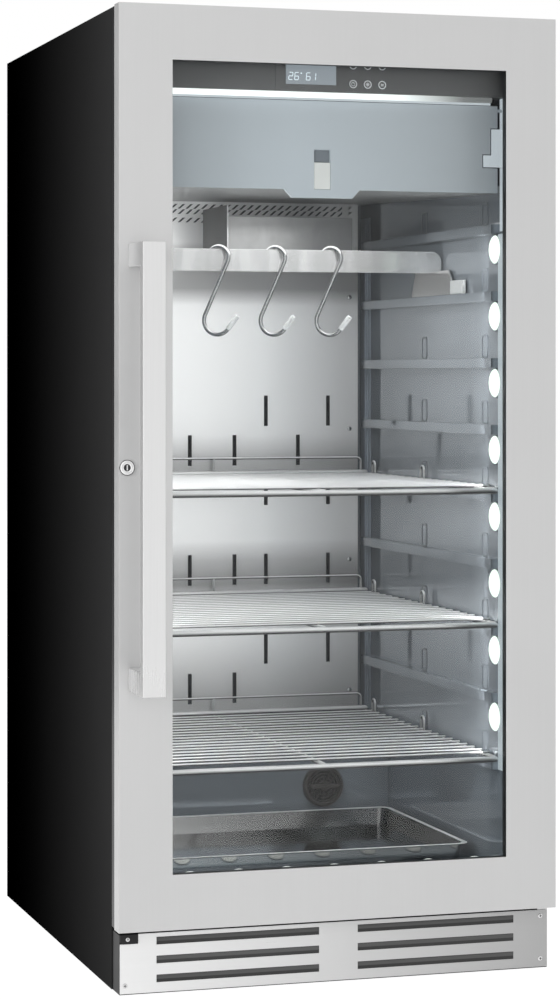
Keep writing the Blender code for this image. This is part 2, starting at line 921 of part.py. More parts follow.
def slanted_slots(near, far, high):
    """Three rows of short slanted slots along the panel's top, as one cutter."""
    shape = bmesh.new()
    count = int((panel_half - vent_pitch) / vent_pitch)
    for drop in vent_rows:
        middle = high - drop
        for index in range(-count, count + 1):
            x = index * vent_pitch
            corners = (
                (x - vent_slant / 2 - vent_width / 2, middle - vent_height / 2),
                (x - vent_slant / 2 + vent_width / 2, middle - vent_height / 2),
                (x + vent_slant / 2 + vent_width / 2, middle + vent_height / 2),
                (x + vent_slant / 2 - vent_width / 2, middle + vent_height / 2))
            rim = [shape.verts.new((u, near, v)) for u, v in corners]
            face = shape.faces.new(rim)
            grown = bmesh.ops.extrude_face_region(shape, geom=[face])["geom"]
            made = [item for item in grown if isinstance(item, bmesh.types.BMVert)]
            bmesh.ops.translate(shape, vec=(0, far - near, 0), verts=made)
    return to_object("vents", shape)


def make_fan_duct():
    """The fan's box on the back panel, open to the rear, slotted at its left, its motor inside."""
    left_x = duct_left
    right_x = duct_right
    face = panel_face - duct_depth
    high = duct_top
    low = duct_bottom
    rear = panel_face - seat_gap
    cover = block("fan_duct_cover", (left_x, face, low), (right_x, rear, high))
    cut(cover, block("room", (left_x + sheet, face + sheet, low + sheet), (
        right_x - sheet, rear + overrun, high - sheet)))
    run = duct_depth - duct_slot_margin - duct_slot_margin
    pitch = run / duct_slots
    slots = []
    for index in range(duct_slots):
        start = face + duct_slot_margin + index * pitch
        slots.append((
            (left_x - overrun, start, low + duct_slot_margin),
            (left_x + sheet + overrun, start + pitch * duct_slot_share, high - duct_slot_margin)))
    cut(cover, blocks("mesh", slots))
    middle_y = (face + rear) / 2
    middle_z = (low + high) / 2
    motor_start = left_x + fan_setback + fan_hub_length + seat_gap
    motor = rod(
        "motor", fan_motor_radius, (motor_start, middle_y, middle_z),
        (right_x - sheet / 2, middle_y, middle_z), coarse_sides)
    weld(cover, motor)
    settle(cover, steel(), (left_x, rear, high))
    make_fan(
        "evaporator_fan", (left_x + fan_setback, middle_y, middle_z), "X",
        fan_hub_radius, fan_hub_length, fan_radius)


def make_fan(name, place, along, hub_radius, hub_length, radius):
    """A hub with pitched blades, turning about X or Y, its rear face at the motor."""
    direction = Vector((1, 0, 0)) if along == "X" else Vector((0, 1, 0))
    start = Vector(place)
    fan = rod(name, hub_radius, start, start + direction * hub_length, fine_sides)
    middle = start + direction * (hub_length / 2)
    chord = hub_length * math.cos(math.radians(blade_pitch_degrees)) * blade_chord_share
    for index in range(blade_count):
        shape = bmesh.new()
        bmesh.ops.create_cube(shape, size=1)
        inner = hub_radius * blade_root_share
        bmesh.ops.scale(shape, vec=(blade_thickness, chord, radius - inner), verts=shape.verts)
        pitch = Matrix.Rotation(math.radians(blade_pitch_degrees), 4, "Z")
        lift = Matrix.Translation((0, 0, (radius + inner) / 2))
        spoke = Matrix.Rotation(math.tau * index / blade_count, 4, "X")
        frame = Matrix.Identity(4) if along == "X" else Matrix.Rotation(math.pi / 2, 4, "Z")
        whole = Matrix.Translation(middle) @ frame @ spoke @ lift @ pitch
        bmesh.ops.transform(shape, matrix=whole, verts=shape.verts)
        weld(fan, to_object("blade", shape))
    mark = pivot(name + "_axis", middle)
    settle(fan, black_plastic(), middle)
    hang(fan, mark)


def make_control_panel():
    """The dark fascia across the mouth's top, with a raised bezel, a display pocket and key bores."""
    low = fascia_bottom
    high = chamber_top - seat_gap
    face = front + fascia_setback
    display_height = fascia_height - display_rise - display_drop
    reach = inner_half - seat_gap
    panel = block("control_panel", (-reach, face, low), (reach, face + fascia_depth, high))
    cut(panel, block("room", (-reach + fascia_wall, face + fascia_wall, low + fascia_wall), (
        reach - fascia_wall, face + fascia_depth + overrun, high - fascia_wall)))
    bezel_left = bezel_offset - bezel_width / 2
    weld(panel, block("bezel", (
        bezel_left, face - bezel_lift, low + bezel_margin), (
        bezel_left + bezel_width, face + fascia_wall / 2, high - bezel_margin)))
    pocket_left = bezel_left + display_left
    pocket_low = low + display_rise
    cut(panel, block("pocket", (
        pocket_left, face - bezel_lift - overrun, pocket_low), (
        pocket_left + display_width, face - bezel_lift + display_thickness + seat_gap,
        pocket_low + display_height)))
    for column in range(key_columns):
        for row in (0, 1):
            x, z = key_place(column, row)
            cut(panel, rod("bore", key_radius + key_play, (x, face - bezel_lift - overrun, z), (
                x, face + fascia_wall + overrun, z), coarse_sides))
    settle(panel, dark_plastic(), (0, face, low))
    window = block("display_window", (
        pocket_left + seat_gap, face - bezel_lift, pocket_low + seat_gap), (
        pocket_left + display_width - seat_gap, face - bezel_lift + display_thickness,
        pocket_low + display_height - seat_gap))
    settle(window, finish("display", (0.45, 0.52, 0.58), 0.15, 0.0), (pocket_left, face, pocket_low))


def key_place(column, row):
    """Middle of a key on the bezel."""
    x = bezel_offset - bezel_width / 2 + key_first + column * key_pitch
    row_pitch = fascia_height - key_rise - key_drop
    return x, fascia_bottom + key_rise + row * row_pitch


def make_keys():
    """Six round keys that stand just proud of the bezel and press in."""
    face = front + fascia_setback - bezel_lift
    names = ("key_power", "key_light", "key_set", "key_up", "key_down", "key_humidity")
    for index, name in enumerate(names):
        x, z = key_place(index % key_columns, index // key_columns)
        tip = face - key_travel
        key = rod(name, key_radius, (x, tip, z), (x, tip + key_length, z), coarse_sides)
        mark = pivot(name + "_axis", (x, face, z))
        settle(key, finish("key_grey", (0.6, 0.6, 0.6), 0.35, 0.2), (x, face, z), smooth=True)
        hang(key, mark)


def make_light_bar():
    """The lit bar under the fascia."""
    high = fascia_bottom - seat_gap
    start = front + light_bar_setback
    half = inner_half - light_bar_side_space
    bar = block("light_bar", (-half, start, high - light_bar_height), (half, start + light_bar_depth, high))
    settle(bar, lamp_white(), (0, start, high))


def lamp_profile(radius, height):
    """Half of a flattened dome as (radius, height) points."""
    return [(radius * across, height * up) for across, up in lamp_shares] + [(0, 0)]


def domes(name, centres, direction, radius, height):
    """Several domes as one object to weld."""
    shape = bmesh.new()
    for centre in centres:
        dome = turned("dome", lamp_profile(radius, height), centre, direction, lamp_sides)
        shape.from_mesh(dome.data)
        bpy.data.objects.remove(dome)
    return to_object(name, shape)


def make_lamp_strips():
    """A strip of round lamps up each side of the mouth, and one along its sill."""
    low = level_height(ledge_count - 1) - ledge_height / 2
    high = level_height(0) - ledge_height / 2 - seat_gap
    start = front + lamp_strip_start
    stop = front + ledge_start - seat_gap
    for name, side in (("lamp_strip_left", -1), ("lamp_strip_right", 1)):
        outer = side * (inner_half - seat_gap)
        inner = side * (inner_half - seat_gap - lamp_base)
        strip = block(name, (min(outer, inner), start, low), (max(outer, inner), stop, high))
        centres = []
        for index in range(side_lamps):
            centres.append((outer, front + lamp_setback, level_height(index) - lamp_drop))
        weld(strip, domes("domes", centres, (-side, 0, 0), lamp_radius, lamp_height))
        settle(strip, lamp_white(), (outer, start, low))
    middle = front + sill_setback
    base = chamber_floor + seat_gap
    strip = block("lamp_strip_sill", (
        -inner_half + seat_gap, middle - sill_strip_half, base), (
        inner_half - seat_gap, middle + sill_strip_half, base + lamp_base))
    centres = []
    for index in range(sill_lamps):
        x = (index - (sill_lamps - 1) / 2) * sill_lamp_pitch
        centres.append((x, middle, base + lamp_base / 2))
    weld(strip, domes("domes", centres, (0, 0, 1), sill_lamp_radius, sill_lamp_height))
    settle(strip, lamp_white(), (0, middle, base))


def flap_pin_height():
    return flap_bottom + flap_height - flap_pin_drop


def make_flap():
    """The flap before the evaporator, on two pins, with a finger tab, catch notches and a latch recess."""
    low = flap_bottom
    high = low + flap_height
    half = flap_half
    catch_inner = inner_half - catch_width - catch_play
    toe_inner = inner_half - catch_width - catch_foot - catch_play
    catch_low = low + catch_rise - catch_play
    catch_step = low + catch_rise + catch_foot_height + catch_play
    catch_high = low + catch_rise + catch_height + catch_play
    tab = [(tab_width / 2 - tab_narrowing, low - tab_height), (tab_width / 2, low)]
    edge = [
        (half, low), (half, catch_low), (toe_inner, catch_low), (toe_inner, catch_step),
        (catch_inner, catch_step), (catch_inner, catch_high), (half, catch_high), (half, high)]
    outline = [(tab_offset + x, z) for x, z in tab] + edge
    outline += [(-x, z) for x, z in reversed(edge)] + [(tab_offset - x, z) for x, z in reversed(tab)]
    flap = prism("evaporator_flap", outline, "Y", flap_front, flap_front + flap_thickness)
    recess_half = latch_width / 2 + latch_play
    recess_high = low + latch_play + latch_height + latch_travel + latch_play
    cut(flap, block("recess", (tab_offset - recess_half, flap_front - overrun, low + latch_play), (
        tab_offset + recess_half, flap_front + latch_recess, recess_high)))
    pin_y = flap_front + flap_thickness / 2
    pin_z = flap_pin_height()
    for side in (-1, 1):
        weld(flap, rod("pin", flap_pin_radius, (side * (half - overrun), pin_y, pin_z), (
            side * (inner_half + flap_pin_seat), pin_y, pin_z), coarse_sides))
    mark = pivot("evaporator_flap_axis", (0, pin_y, pin_z))
    settle(flap, finish("flap_grey", (0.46, 0.52, 0.58), 0.22, 0.0), (0, pin_y, pin_z))
    hang(flap, mark)
    latch_low = low + latch_play + latch_play
    latch = block("flap_latch", (tab_offset - latch_width / 2, flap_front - latch_proud, latch_low), (
        tab_offset + latch_width / 2, flap_front + latch_recess - seat_gap, latch_low + latch_height))
    latch_mark = pivot("flap_latch_axis", (tab_offset, flap_front, latch_low))
    settle(latch, white_plastic(), (tab_offset, flap_front, latch_low))
    hang(latch, latch_mark)


def make_beam():
    """The hanging beam: a flat bar between two feet that stand on a pair of ledges, each with a tongue."""
    foot_low = beam_top
    bar_low = foot_low + beam_height
    bar_high = bar_low + beam_height
    reach = inner_half - beam_end_play
    near = beam_middle - beam_thickness / 2
    far = beam_middle + beam_thickness / 2
    corner_x = reach - beam_corner
    right = [(reach, bar_low)] + arc((corner_x, bar_high - beam_corner), beam_corner, 0, 90, corner_steps)
    outline = right + [(-x, z) for x, z in reversed(right)]
    beam = prism("hanger_beam", outline, "Y", near, far)
    foot_start = beam_middle - beam_foot_front
    foot_end = beam_middle + beam_foot_back
    step = foot_start + beam_tongue_length
    rise = bar_low + beam_overlap
    foot_outline = [
        (foot_start, foot_low), (foot_end, foot_low), (foot_end - beam_foot_lean, rise),
        (step + beam_foot_corner, rise), (step, rise - beam_foot_corner),
        (step, foot_low + beam_tongue_height), (foot_start, foot_low + beam_tongue_height)]
    for side in (-1, 1):
        outer = side * reach
        inner = side * (reach - beam_thickness)
        weld(beam, prism("foot", foot_outline, "X", min(outer, inner), max(outer, inner)))
    settle(beam, steel(), (0, beam_middle, bar_high))


def hook_path():
    """Centreline of an S hook as (out, up) points, measured from the top loop's centre."""
    span = math.hypot(hook_shift, hook_drop)
    lean = math.asin((hook_top_radius + hook_bottom_radius) / span)
    slope = math.degrees(lean + math.atan2(hook_shift, hook_drop))
    low_centre = (-hook_shift, -hook_drop)
    points = arc((0, 0), hook_top_radius, hook_back_degrees, -slope, hook_top_steps)
    points += arc(low_centre, hook_bottom_radius, 180 - slope, 360 + hook_out_degrees, hook_bottom_steps)
    last = points[-1]
    tangent = math.radians(90 + hook_out_degrees)
    points.append((last[0] + hook_tip * math.cos(tangent), last[1] + hook_tip * math.sin(tangent)))
    return points


def make_hooks():
    """Three steel S hooks hung over the beam, turned towards the front."""
    bar_high = beam_top + beam_height + beam_height
    centre_z = bar_high + hook_wire_radius + hook_play - hook_top_radius
    turn = math.radians(hook_turn_degrees)
    across = Vector((math.sin(turn), -math.cos(turn), 0))
    for index in range(hook_count):
        x = (index - (hook_count - 1) / 2) * hook_pitch
        middle = Vector((x, beam_middle, centre_z))
        path = [middle + across * out + Vector((0, 0, up)) for out, up in hook_path()]
        hook = wires("meat_hook_" + str(index + 1), [path], hook_wire_radius, hook_round_steps)
        place = (x, beam_middle, bar_high)
        mark = pivot(hook.name + "_axis", place)
        settle(hook, bright_steel(), place, smooth=True)
        hang(hook, mark)


def make_shelves():
    """Wire shelves on three pairs of ledges: bars, cross wires, a back rail and side loops."""
    reach = inner_half - shelf_play
    start = shelf_start
    end = shelf_end
    shelf_depth = shelf_end - shelf_start
    bar_side = reach - side_bar_inset
    for number, level in enumerate(shelf_levels):
        z = level_height(level) + ledge_height / 2 + seat_gap + side_bar_radius
        name = "shelf_" + str(number + 1)
        front_z = z - front_bar_drop
        front_bar = [(-reach, start, front_z), (reach, start, front_z)]
        shelf = wires(name, [front_bar], front_bar_radius, wire_round_steps)
        rails = [[(x, start, z), (x, end, z)] for x in (-bar_side, 0, bar_side)]
        weld(shelf, wires("bars", rails, side_bar_radius, wire_round_steps))
        rear_z = z + side_bar_radius + front_bar_radius * wire_bite_share
        rear_bar = [(-reach, end, rear_z), (reach, end, rear_z)]
        weld(shelf, wires("rear", [rear_bar], front_bar_radius, wire_round_steps))
        top = z + side_bar_radius + cross_wire_radius * wire_bite_share
        pitch = shelf_depth / (cross_wires + 1)
        lines = []
        for index in range(cross_wires):
            y = start + (index + 1) * pitch
            lines.append([(-reach, y, top), (reach, y, top)])
        weld(shelf, wires("wires", lines, cross_wire_radius, wire_round_steps))
        rail = back_rail(reach - rail_inset, end, z)
        weld(shelf, wires("back_rail", [rail], rail_radius, wire_round_steps))
        weld(shelf, wires("post", [[(0, end, z), (0, end, z + rail_rise)]], rail_radius, wire_round_steps))
        loops = []
        for share in loop_shares:
            for side in (-1, 1):
                loops.append(side_loop(side * bar_side, start + shelf_depth * share, z))
        weld(shelf, wires("loops", loops, loop_radius, wire_round_steps))
        mark = pivot(name + "_axis", (0, start, z))
        settle(shelf, bright_steel(), (0, start, z), smooth=True)
        hang(shelf, mark)


def back_rail(reach, y, z):
    """The raised rail along a shelf's rear, bent down at both ends."""
    high = z + rail_rise
    right = [(reach, z)] + arc((reach - rail_bend, high - rail_bend), rail_bend, 0, 90, corner_steps)
    return [(u, y, v) for u, v in right] + [(-u, y, v) for u, v in reversed(right)]


def side_loop(x, y, z):
    """A small upright loop of wire on a shelf's side bar."""
    half = loop_width / 2
    bow = arc((y, z + loop_height - half), half, 0, 180, loop_steps)
    return [(x, y + half, z)] + [(x, u, v) for u, v in bow] + [(x, y - half, z)]


def make_drip_tray():
    """The steel tray on the chamber's floor, with a flat rim all round."""
    base = chamber_floor + seat_gap
    start = tray_start
    half = tray_half
    rim_z = base + tray_height

    def ring(inset, z):
        return [
            (-half + inset, start + inset, z), (half - inset, start + inset, z),
            (half - inset, tray_end - inset, z), (-half + inset, tray_end - inset, z)]
    wall = tray_rim + tray_wall_run
    rings = [
        ring(wall, base), ring(tray_rim, rim_z - tray_sheet), ring(0, rim_z - tray_sheet), ring(0, rim_z),
        ring(tray_rim + tray_sheet, rim_z), ring(wall + tray_sheet, base + tray_sheet)]
    shape = bmesh.new()
    rows = [[shape.verts.new(point) for point in points] for points in rings]
    for lower, upper in zip(rows, rows[1:]):
        for index in range(len(lower)):
            after = (index + 1) % len(lower)
            shape.faces.new((lower[index], lower[after], upper[after], upper[index]))
    shape.faces.new(rows[0])
    shape.faces.new(rows[-1])
    tray = to_object("drip_tray", shape)
    mark = pivot("drip_tray_axis", (0, start, base))
    settle(tray, bright_steel(), (0, start, base))
    hang(tray, mark)


def make_filter_cap():
    """The charcoal filter's cap, turned by a grip bar, its neck in the hump."""
    face = hump_face - seat_gap
    profile = [
        (0, -filter_cap_depth), (filter_radius * filter_edge_shares[0], -filter_cap_depth),
        (filter_radius, -filter_cap_depth * filter_edge_shares[1]),
        (filter_radius, 0), (filter_neck_radius, 0), (filter_neck_radius, filter_neck_length),
        (0, filter_neck_length)]
    cap = turned("filter_cap", profile, (filter_x, face, filter_z), (0, 1, 0), fine_sides)
    reach = filter_radius * filter_grip_share
    weld(cap, block("grip", (
        filter_x - reach, face - filter_cap_depth - filter_grip_height, filter_z - filter_grip_width / 2), (
        filter_x + reach, face - filter_cap_depth / 2, filter_z + filter_grip_width / 2)))
    mark = pivot("filter_cap_axis", (filter_x, face, filter_z))
    settle(cap, dark_plastic(), (filter_x, face, filter_z), smooth=True)
    hang(cap, mark)


def make_base_pan():
    """The folded base that carries the machine parts, the plinth and the feet."""
    reach = cabinet_half - sheet - seat_gap
    rear = back - sheet - seat_gap
    high = pan_top
    pan = block("base_pan", (-reach, pan_front_y, body_floor), (reach, rear, high))
    cut(pan, block("room", (-reach + pan_sheet, pan_front_y + pan_sheet, body_floor + pan_sheet), (
        reach - pan_sheet, rear + overrun, high + overrun)))
    cut(pan, block("mouth", (-reach + pan_flange, pan_front_y - overrun, body_floor + pan_sheet), (
        reach - pan_flange, pan_front_y + pan_sheet + overrun, high + overrun)))
    for x, y in foot_places():
        cut(pan, rod("hole", foot_stem_radius + seat_gap, (x, y, body_floor - overrun), (
            x, y, body_floor + pan_sheet + overrun), coarse_sides))
    settle(pan, black_paint(), (0, pan_front_y, body_floor))


def foot_places():
    """The four feet, two at the front and two at the rear."""
    across = cabinet_half - foot_inset_side
    return [
        (-across, front + foot_inset_front), (across, front + foot_inset_front),
        (-across, back - foot_inset_rear), (across, back - foot_inset_rear)]


def make_feet():
    """Four screw feet, each a disc with a stem through the base pan."""
    disc = foot_lift - seat_gap
    for index, (x, y) in enumerate(foot_places()):
        profile = [
            (0, 0), (foot_radius, 0), (foot_radius, disc), (foot_stem_radius, disc),
            (foot_stem_radius, disc + foot_stem_length), (0, disc + foot_stem_length)]
        foot = turned("foot_" + str(index + 1), profile, (x, y, 0), (0, 0, 1), fine_sides)
        settle(foot, black_plastic(), (x, y, 0))


def make_plinth():
    """The steel plinth with its two groups of air slots, notched for the spare hinge cap."""
    low = body_floor + sheet + seat_gap
    high = door_bottom - plinth_drop
    face = pan_front_y - seat_gap - plinth_sheet
    half = plinth_half
    panel = block("plinth_panel", (-half, face, low), (half, pan_front_y - seat_gap, high))
    first = low + plinth_slot_rise
    pitch = (high - plinth_slot_drop - plinth_slot_height - first) / (plinth_slot_rows - 1)
    slots = []
    for side in (-1, 1):
        edge = side * (plinth_half - plinth_slot_margin)
        inner = side * plinth_slot_middle
        for row in range(plinth_slot_rows):
            z = first + row * pitch
            slots.append((
                (min(edge, inner), face - overrun, z),
                (max(edge, inner), pan_front_y + overrun, z + plinth_slot_height)))
    slots.append((
        (-half - overrun, face - overrun, high - cap_height - seat_gap),
        (-half + cap_width + seat_gap, pan_front_y + overrun, high + overrun)))
    cut(panel, blocks("slots", slots))
    settle(panel, steel(), (0, face, low))
    cap_front = face - cap_proud
    cap_outline = [
        (-half, high), (-half, high - cap_height + cap_corner), (-half + cap_corner, high - cap_height),
        (-half + cap_width - cap_corner, high - cap_height),
        (-half + cap_width, high - cap_height + cap_corner), (-half + cap_width, high)]
    cap = prism("spare_hinge_cap", cap_outline, "Y", cap_front, pan_front_y - seat_gap)
    settle(cap, black_plastic(), (-half, cap_front, high))


def make_hinges():
    """The two hinge brackets with their pins, fixed to the carcass's front."""
    plate_back = front - seat_gap
    plate_front = plate_back - hinge_plate
    low_x = hinge_x - hinge_half_width
    high_x = hinge_x + hinge_half_width
    nose = hinge_y - hinge_arm_nose
    arm_high = door_bottom - hinge_arm_air
    arm_low = arm_high - hinge_plate
    lower = block("lower_hinge_bracket", (low_x, nose, arm_low), (high_x, plate_back, arm_high))
    weld(lower, block("plate", (low_x, plate_front, arm_low - hinge_plate_height), (
        high_x, plate_back, arm_high - hinge_plate / 2)))
    weld(lower, rod("pin", hinge_pin_radius, (hinge_x, hinge_y, arm_high - hinge_plate / 2), (
        hinge_x, hinge_y, door_bottom + hinge_pin_length), coarse_sides))
    settle(lower, finish("zinc", (0.6, 0.6, 0.62), 0.35, 1.0), (hinge_x, hinge_y, arm_high))
    top_high = body_top - hinge_arm_air
    top_low = top_high - hinge_plate
    upper = block("upper_hinge_bracket", (low_x, nose, top_low), (high_x, plate_back, top_high))
    weld(upper, block("plate", (low_x, plate_front, top_low - hinge_plate_height), (
        high_x, plate_back, top_high - hinge_plate / 2)))
    weld(upper, rod("pin", hinge_pin_radius, (hinge_x, hinge_y, top_low + hinge_plate / 2), (
        hinge_x, hinge_y, notch_floor() - hinge_pin_length), coarse_sides))
    settle(upper, finish("zinc", (0.6, 0.6, 0.62), 0.35, 1.0), (hinge_x, hinge_y, top_low))


def notch_floor():
    """Height of the notch in the door's top that the upper hinge arm lies in."""
    return body_top - hinge_arm_air - hinge_plate - hinge_arm_air


def hinge_cutters():
    """The top notch and the two pin bores of the door, as cutters."""
    notch = block("notch", (hinge_x - notch_reach, hinge_y - notch_reach, notch_floor()), (
        door_width / 2 + overrun, door_back + overrun, body_top + overrun))
    bore_radius = hinge_pin_radius + hinge_pin_play
    upper = rod("upper_bore", bore_radius, (
        hinge_x, hinge_y, notch_floor() - hinge_pin_length - seat_gap), (
        hinge_x, hinge_y, notch_floor() + overrun), coarse_sides)
    lower = rod("lower_bore", bore_radius, (hinge_x, hinge_y, door_bottom - overrun), (
        hinge_x, hinge_y, door_bottom + hinge_pin_length + seat_gap), coarse_sides)
    return [notch, upper, lower]


def make_door(mark):
    """The door's folded steel skin and the black core that holds the glass."""
    half = door_width / 2
    skin = block("door_skin", (-half, door_face, door_bottom), (half, door_face + skin_fold, body_top))
    cut(skin, block("room", (-half + sheet, door_face + sheet, door_bottom + sheet), (
        half - sheet, door_face + skin_fold + overrun, body_top - sheet)))
    cut(skin, block("light", (-opening_half, door_face - overrun, opening_bottom), (
        opening_half, door_face + sheet + overrun, opening_top)))
    core_reach = sheet + seat_gap
    core = block("door_core", (-half + core_reach, door_face + core_reach, door_bottom + core_reach), (
        half - core_reach, door_back, body_top - core_reach))
    cut(core, block("light", (-opening_half, door_face - overrun, opening_bottom), (
        opening_half, door_back + overrun, opening_top)))
    grip = pane_overlap + seat_gap
    groove_back = door_back - core_lip
    cut(core, block("groove", (-opening_half - grip, glass_face, opening_bottom - grip), (
        opening_half + grip, groove_back, opening_top + grip)))
    room = pane_overlap - pane_hold
    cut(core, block("rear_light", (-opening_half - room, glass_face, opening_bottom - room), (
        opening_half + room, door_back + overrun, opening_top + room)))
    for target in (skin, core):
        cut(target, rod(
            "lock_bore", lock_barrel_radius + lock_bore_play, (lock_x, door_face - overrun, door_middle),
            (lock_x, door_back + overrun, door_middle), fine_sides))
        for cutter in hinge_cutters():
            cut(target, cutter)
    axis = (hinge_x, hinge_y, door_bottom)
    settle(skin, steel(), axis)
    hang(skin, mark)
    settle(core, black_plastic(), axis)
    hang(core, mark)


def make_glazing(mark):
    """Two panes with a hollow bar between their edges."""
    half = opening_half + pane_overlap
    low = opening_bottom - pane_overlap
    high = opening_top + pane_overlap
    outer_start = glass_face + seat_gap
    spacer_start = outer_start + pane + seat_gap
    inner_start = spacer_start + pane_space + seat_gap
    axis = (hinge_x, hinge_y, door_bottom)
    outer = block("outer_glass", (-half, outer_start, low), (half, outer_start + pane, high))
    inner = block("inner_glass", (-half, inner_start, low), (half, inner_start + pane, high))
    spacer = block("glass_spacer", (-half, spacer_start, low), (half, spacer_start + pane_space, high))
    cut(spacer, block("room", (-half + spacer_width, spacer_start - overrun, low + spacer_width), (
        half - spacer_width, spacer_start + pane_space + overrun, high - spacer_width)))
    for piece, look in ((outer, clear_glass()), (inner, clear_glass()), (spacer, black_plastic())):
        settle(piece, look, axis)
        hang(piece, mark)


def make_gasket(mark):
    """The magnetic gasket: a ring with a narrow neck on the door and a wide sealing face."""
    outer = door_width / 2 - gasket_inset
    low = door_bottom + gasket_inset
    high = body_top - gasket_inset
    start = door_back + seat_gap
    end = front - seat_gap
    lip = end - gasket_lip
    ring = block("door_gasket", (-outer, lip, low), (outer, end, high))
    inset = (gasket_width - gasket_neck) / 2
    neck = block("neck", (-outer + inset, start, low + inset), (outer - inset, lip + sheet, high - inset))
    weld(ring, neck)
    cut(ring, block("room", (-outer + gasket_width, lip - overrun, low + gasket_width), (
        outer - gasket_width, end + overrun, high - gasket_width)))
    inner = inset + gasket_neck
    cut(ring, block("neck_room", (-outer + inner, start - overrun, low + inner), (
        outer - inner, lip, high - inner)))
    axis = (hinge_x, hinge_y, door_bottom)
    settle(ring, soft_rubber(), axis)
    hang(ring, mark)


def make_handle(mark):
    """The square bar handle on its two posts."""
    x = -door_width / 2 + handle_inset
    low = door_middle - handle_length / 2
    high = door_middle + handle_length / 2
    tip = door_face - handle_reach
    inner = tip + handle_bar
    foot = door_face - seat_gap
    outline = [
        (tip, low), (foot, low), (foot, low + handle_post), (inner, low + handle_post),
        (inner, high - handle_post), (foot, high - handle_post), (foot, high), (tip, high)]
    handle = prism("door_handle", outline, "X", x, x + handle_width)
    settle(handle, steel(), (hinge_x, hinge_y, door_bottom))
    hang(handle, mark)


def make_lock(mark):
    """The cam lock by the door's edge: ring, barrel, shaft and cam in one turning piece."""
    x = lock_x
    face = door_face - seat_gap
    cam_start = front + sheet + lock_cam_setback
    cam_end = cam_start + lock_cam_thickness - seat_gap - seat_gap
    profile = [
        (0, -lock_ring_height), (lock_ring_radius, -lock_ring_height), (lock_ring_radius, 0),
        (lock_barrel_radius, 0), (lock_barrel_radius, door_back - face),
        (lock_shaft_radius, door_back - face), (lock_shaft_radius, cam_end - face), (0, cam_end - face)]
    lock = turned("lock_cylinder", profile, (x, face, door_middle), (0, 1, 0), fine_sides)
    weld(lock, block("cam", (x - lock_cam_width / 2, cam_start - seat_gap, door_middle - lock_cam_heel), (
        x + lock_cam_width / 2, cam_end - seat_gap, door_middle + lock_cam_reach)))
    cut(lock, block("keyway", (
        x - keyway_width / 2, face - lock_ring_height - overrun, door_middle - keyway_height / 2), (
        x + keyway_width / 2, face - lock_ring_height + keyway_depth, door_middle + keyway_height / 2)))
    lock_mark = pivot("lock_axis", (x, face, door_middle))
    lock_mark.parent = mark
    lock_mark.matrix_parent_inverse = Matrix.Translation(-mark.location)
    settle(lock, bright_steel(), (x, face, door_middle))
    lock.parent = lock_mark
    lock.matrix_parent_inverse = Matrix.Translation(-Vector((x, face, door_middle)))


def make_machine_parts():
    """Compressor, condenser with its fan motor, and the condenser fan."""
    ground = body_floor + pan_sheet + seat_gap
    rear_stop = back - sheet - bay_rear_play
    compressor_y = rear_stop - compressor_radius
    dome = compressor_radius * compressor_dome_share
    profile = [
        (0, 0), (compressor_radius, 0), (compressor_radius, compressor_height - dome)]
    for across, down in compressor_dome_shares:
        profile.append((compressor_radius * across, compressor_height - dome * down))
    profile.append((0, compressor_height))
    can = turned("compressor", profile, (0, 0, 0), (0, 0, 1), fine_sides)
    can.data.transform(Matrix.Diagonal((compressor_stretch_share, 1, 1, 1)))
    can.data.transform(Matrix.Translation((compressor_x, compressor_y, ground + compressor_foot_height / 2)))
    weld(can, block("feet", (
        compressor_x - compressor_foot_width / 2, compressor_y - compressor_foot_depth / 2, ground), (
        compressor_x + compressor_foot_width / 2, compressor_y + compressor_foot_depth / 2,
        ground + compressor_foot_height)))
    settle(can, black_paint(), (compressor_x, compressor_y, ground), smooth=True)
    start = bay_front + bay_rear_play
    end = start + condenser_depth
    half = condenser_width / 2
    left_x = condenser_x - half
    core = block("condenser", (left_x, start, ground), (
        left_x + condenser_width, end, ground + condenser_height))
    pitch = (condenser_width - condenser_tanks - condenser_tanks) / condenser_fins
    lead, width, depth = condenser_gap_shares
    gap_end = start + condenser_depth * depth
    gap_top = ground + condenser_height - condenser_tanks
    gaps = []
    for index in range(condenser_fins):
        x = left_x + condenser_tanks + (index + lead) * pitch
        gaps.append((
            (x, start - overrun, ground + condenser_tanks),
            (x + pitch * width, gap_end, gap_top)))
    cut(core, blocks("gaps", gaps))
    hub_z = ground + condenser_height / 2
    weld(core, rod("motor", bay_motor_radius, (condenser_x, end - sheet, hub_z), (
        condenser_x, end + bay_motor_length, hub_z), fine_sides))
    settle(core, finish("aluminium", (0.7, 0.71, 0.72), 0.35, 1.0), (condenser_x, start, ground))
    make_fan(
        "condenser_fan", (condenser_x, end + bay_motor_length + seat_gap, hub_z), "Y",
        bay_fan_hub_radius, bay_fan_hub_length, bay_fan_radius)


def main():
    clear_scene()
    make_side_panels()
    make_top_panel()
    make_rear_panel()
    make_power_inlet()
    make_foam()
    make_front_frame()
    make_side_liners()
    make_floor_liner()
    make_rear_liner()
    make_ceiling_liner()
    make_evaporator_tray()
    make_evaporator_coil()
    make_back_panel()
    make_fan_duct()
    make_control_panel()
    make_keys()
    make_light_bar()
    make_lamp_strips()
    make_flap()
    make_beam()
    make_hooks()
    make_shelves()
    make_drip_tray()
    make_filter_cap()
    make_base_pan()
    make_feet()
    make_plinth()
    make_hinges()
    make_machine_parts()
    door_axis = pivot("door_axis", (hinge_x, hinge_y, door_bottom))
    make_door(door_axis)
    make_glazing(door_axis)
    make_gasket(door_axis)
    make_handle(door_axis)
    make_lock(door_axis)


main()
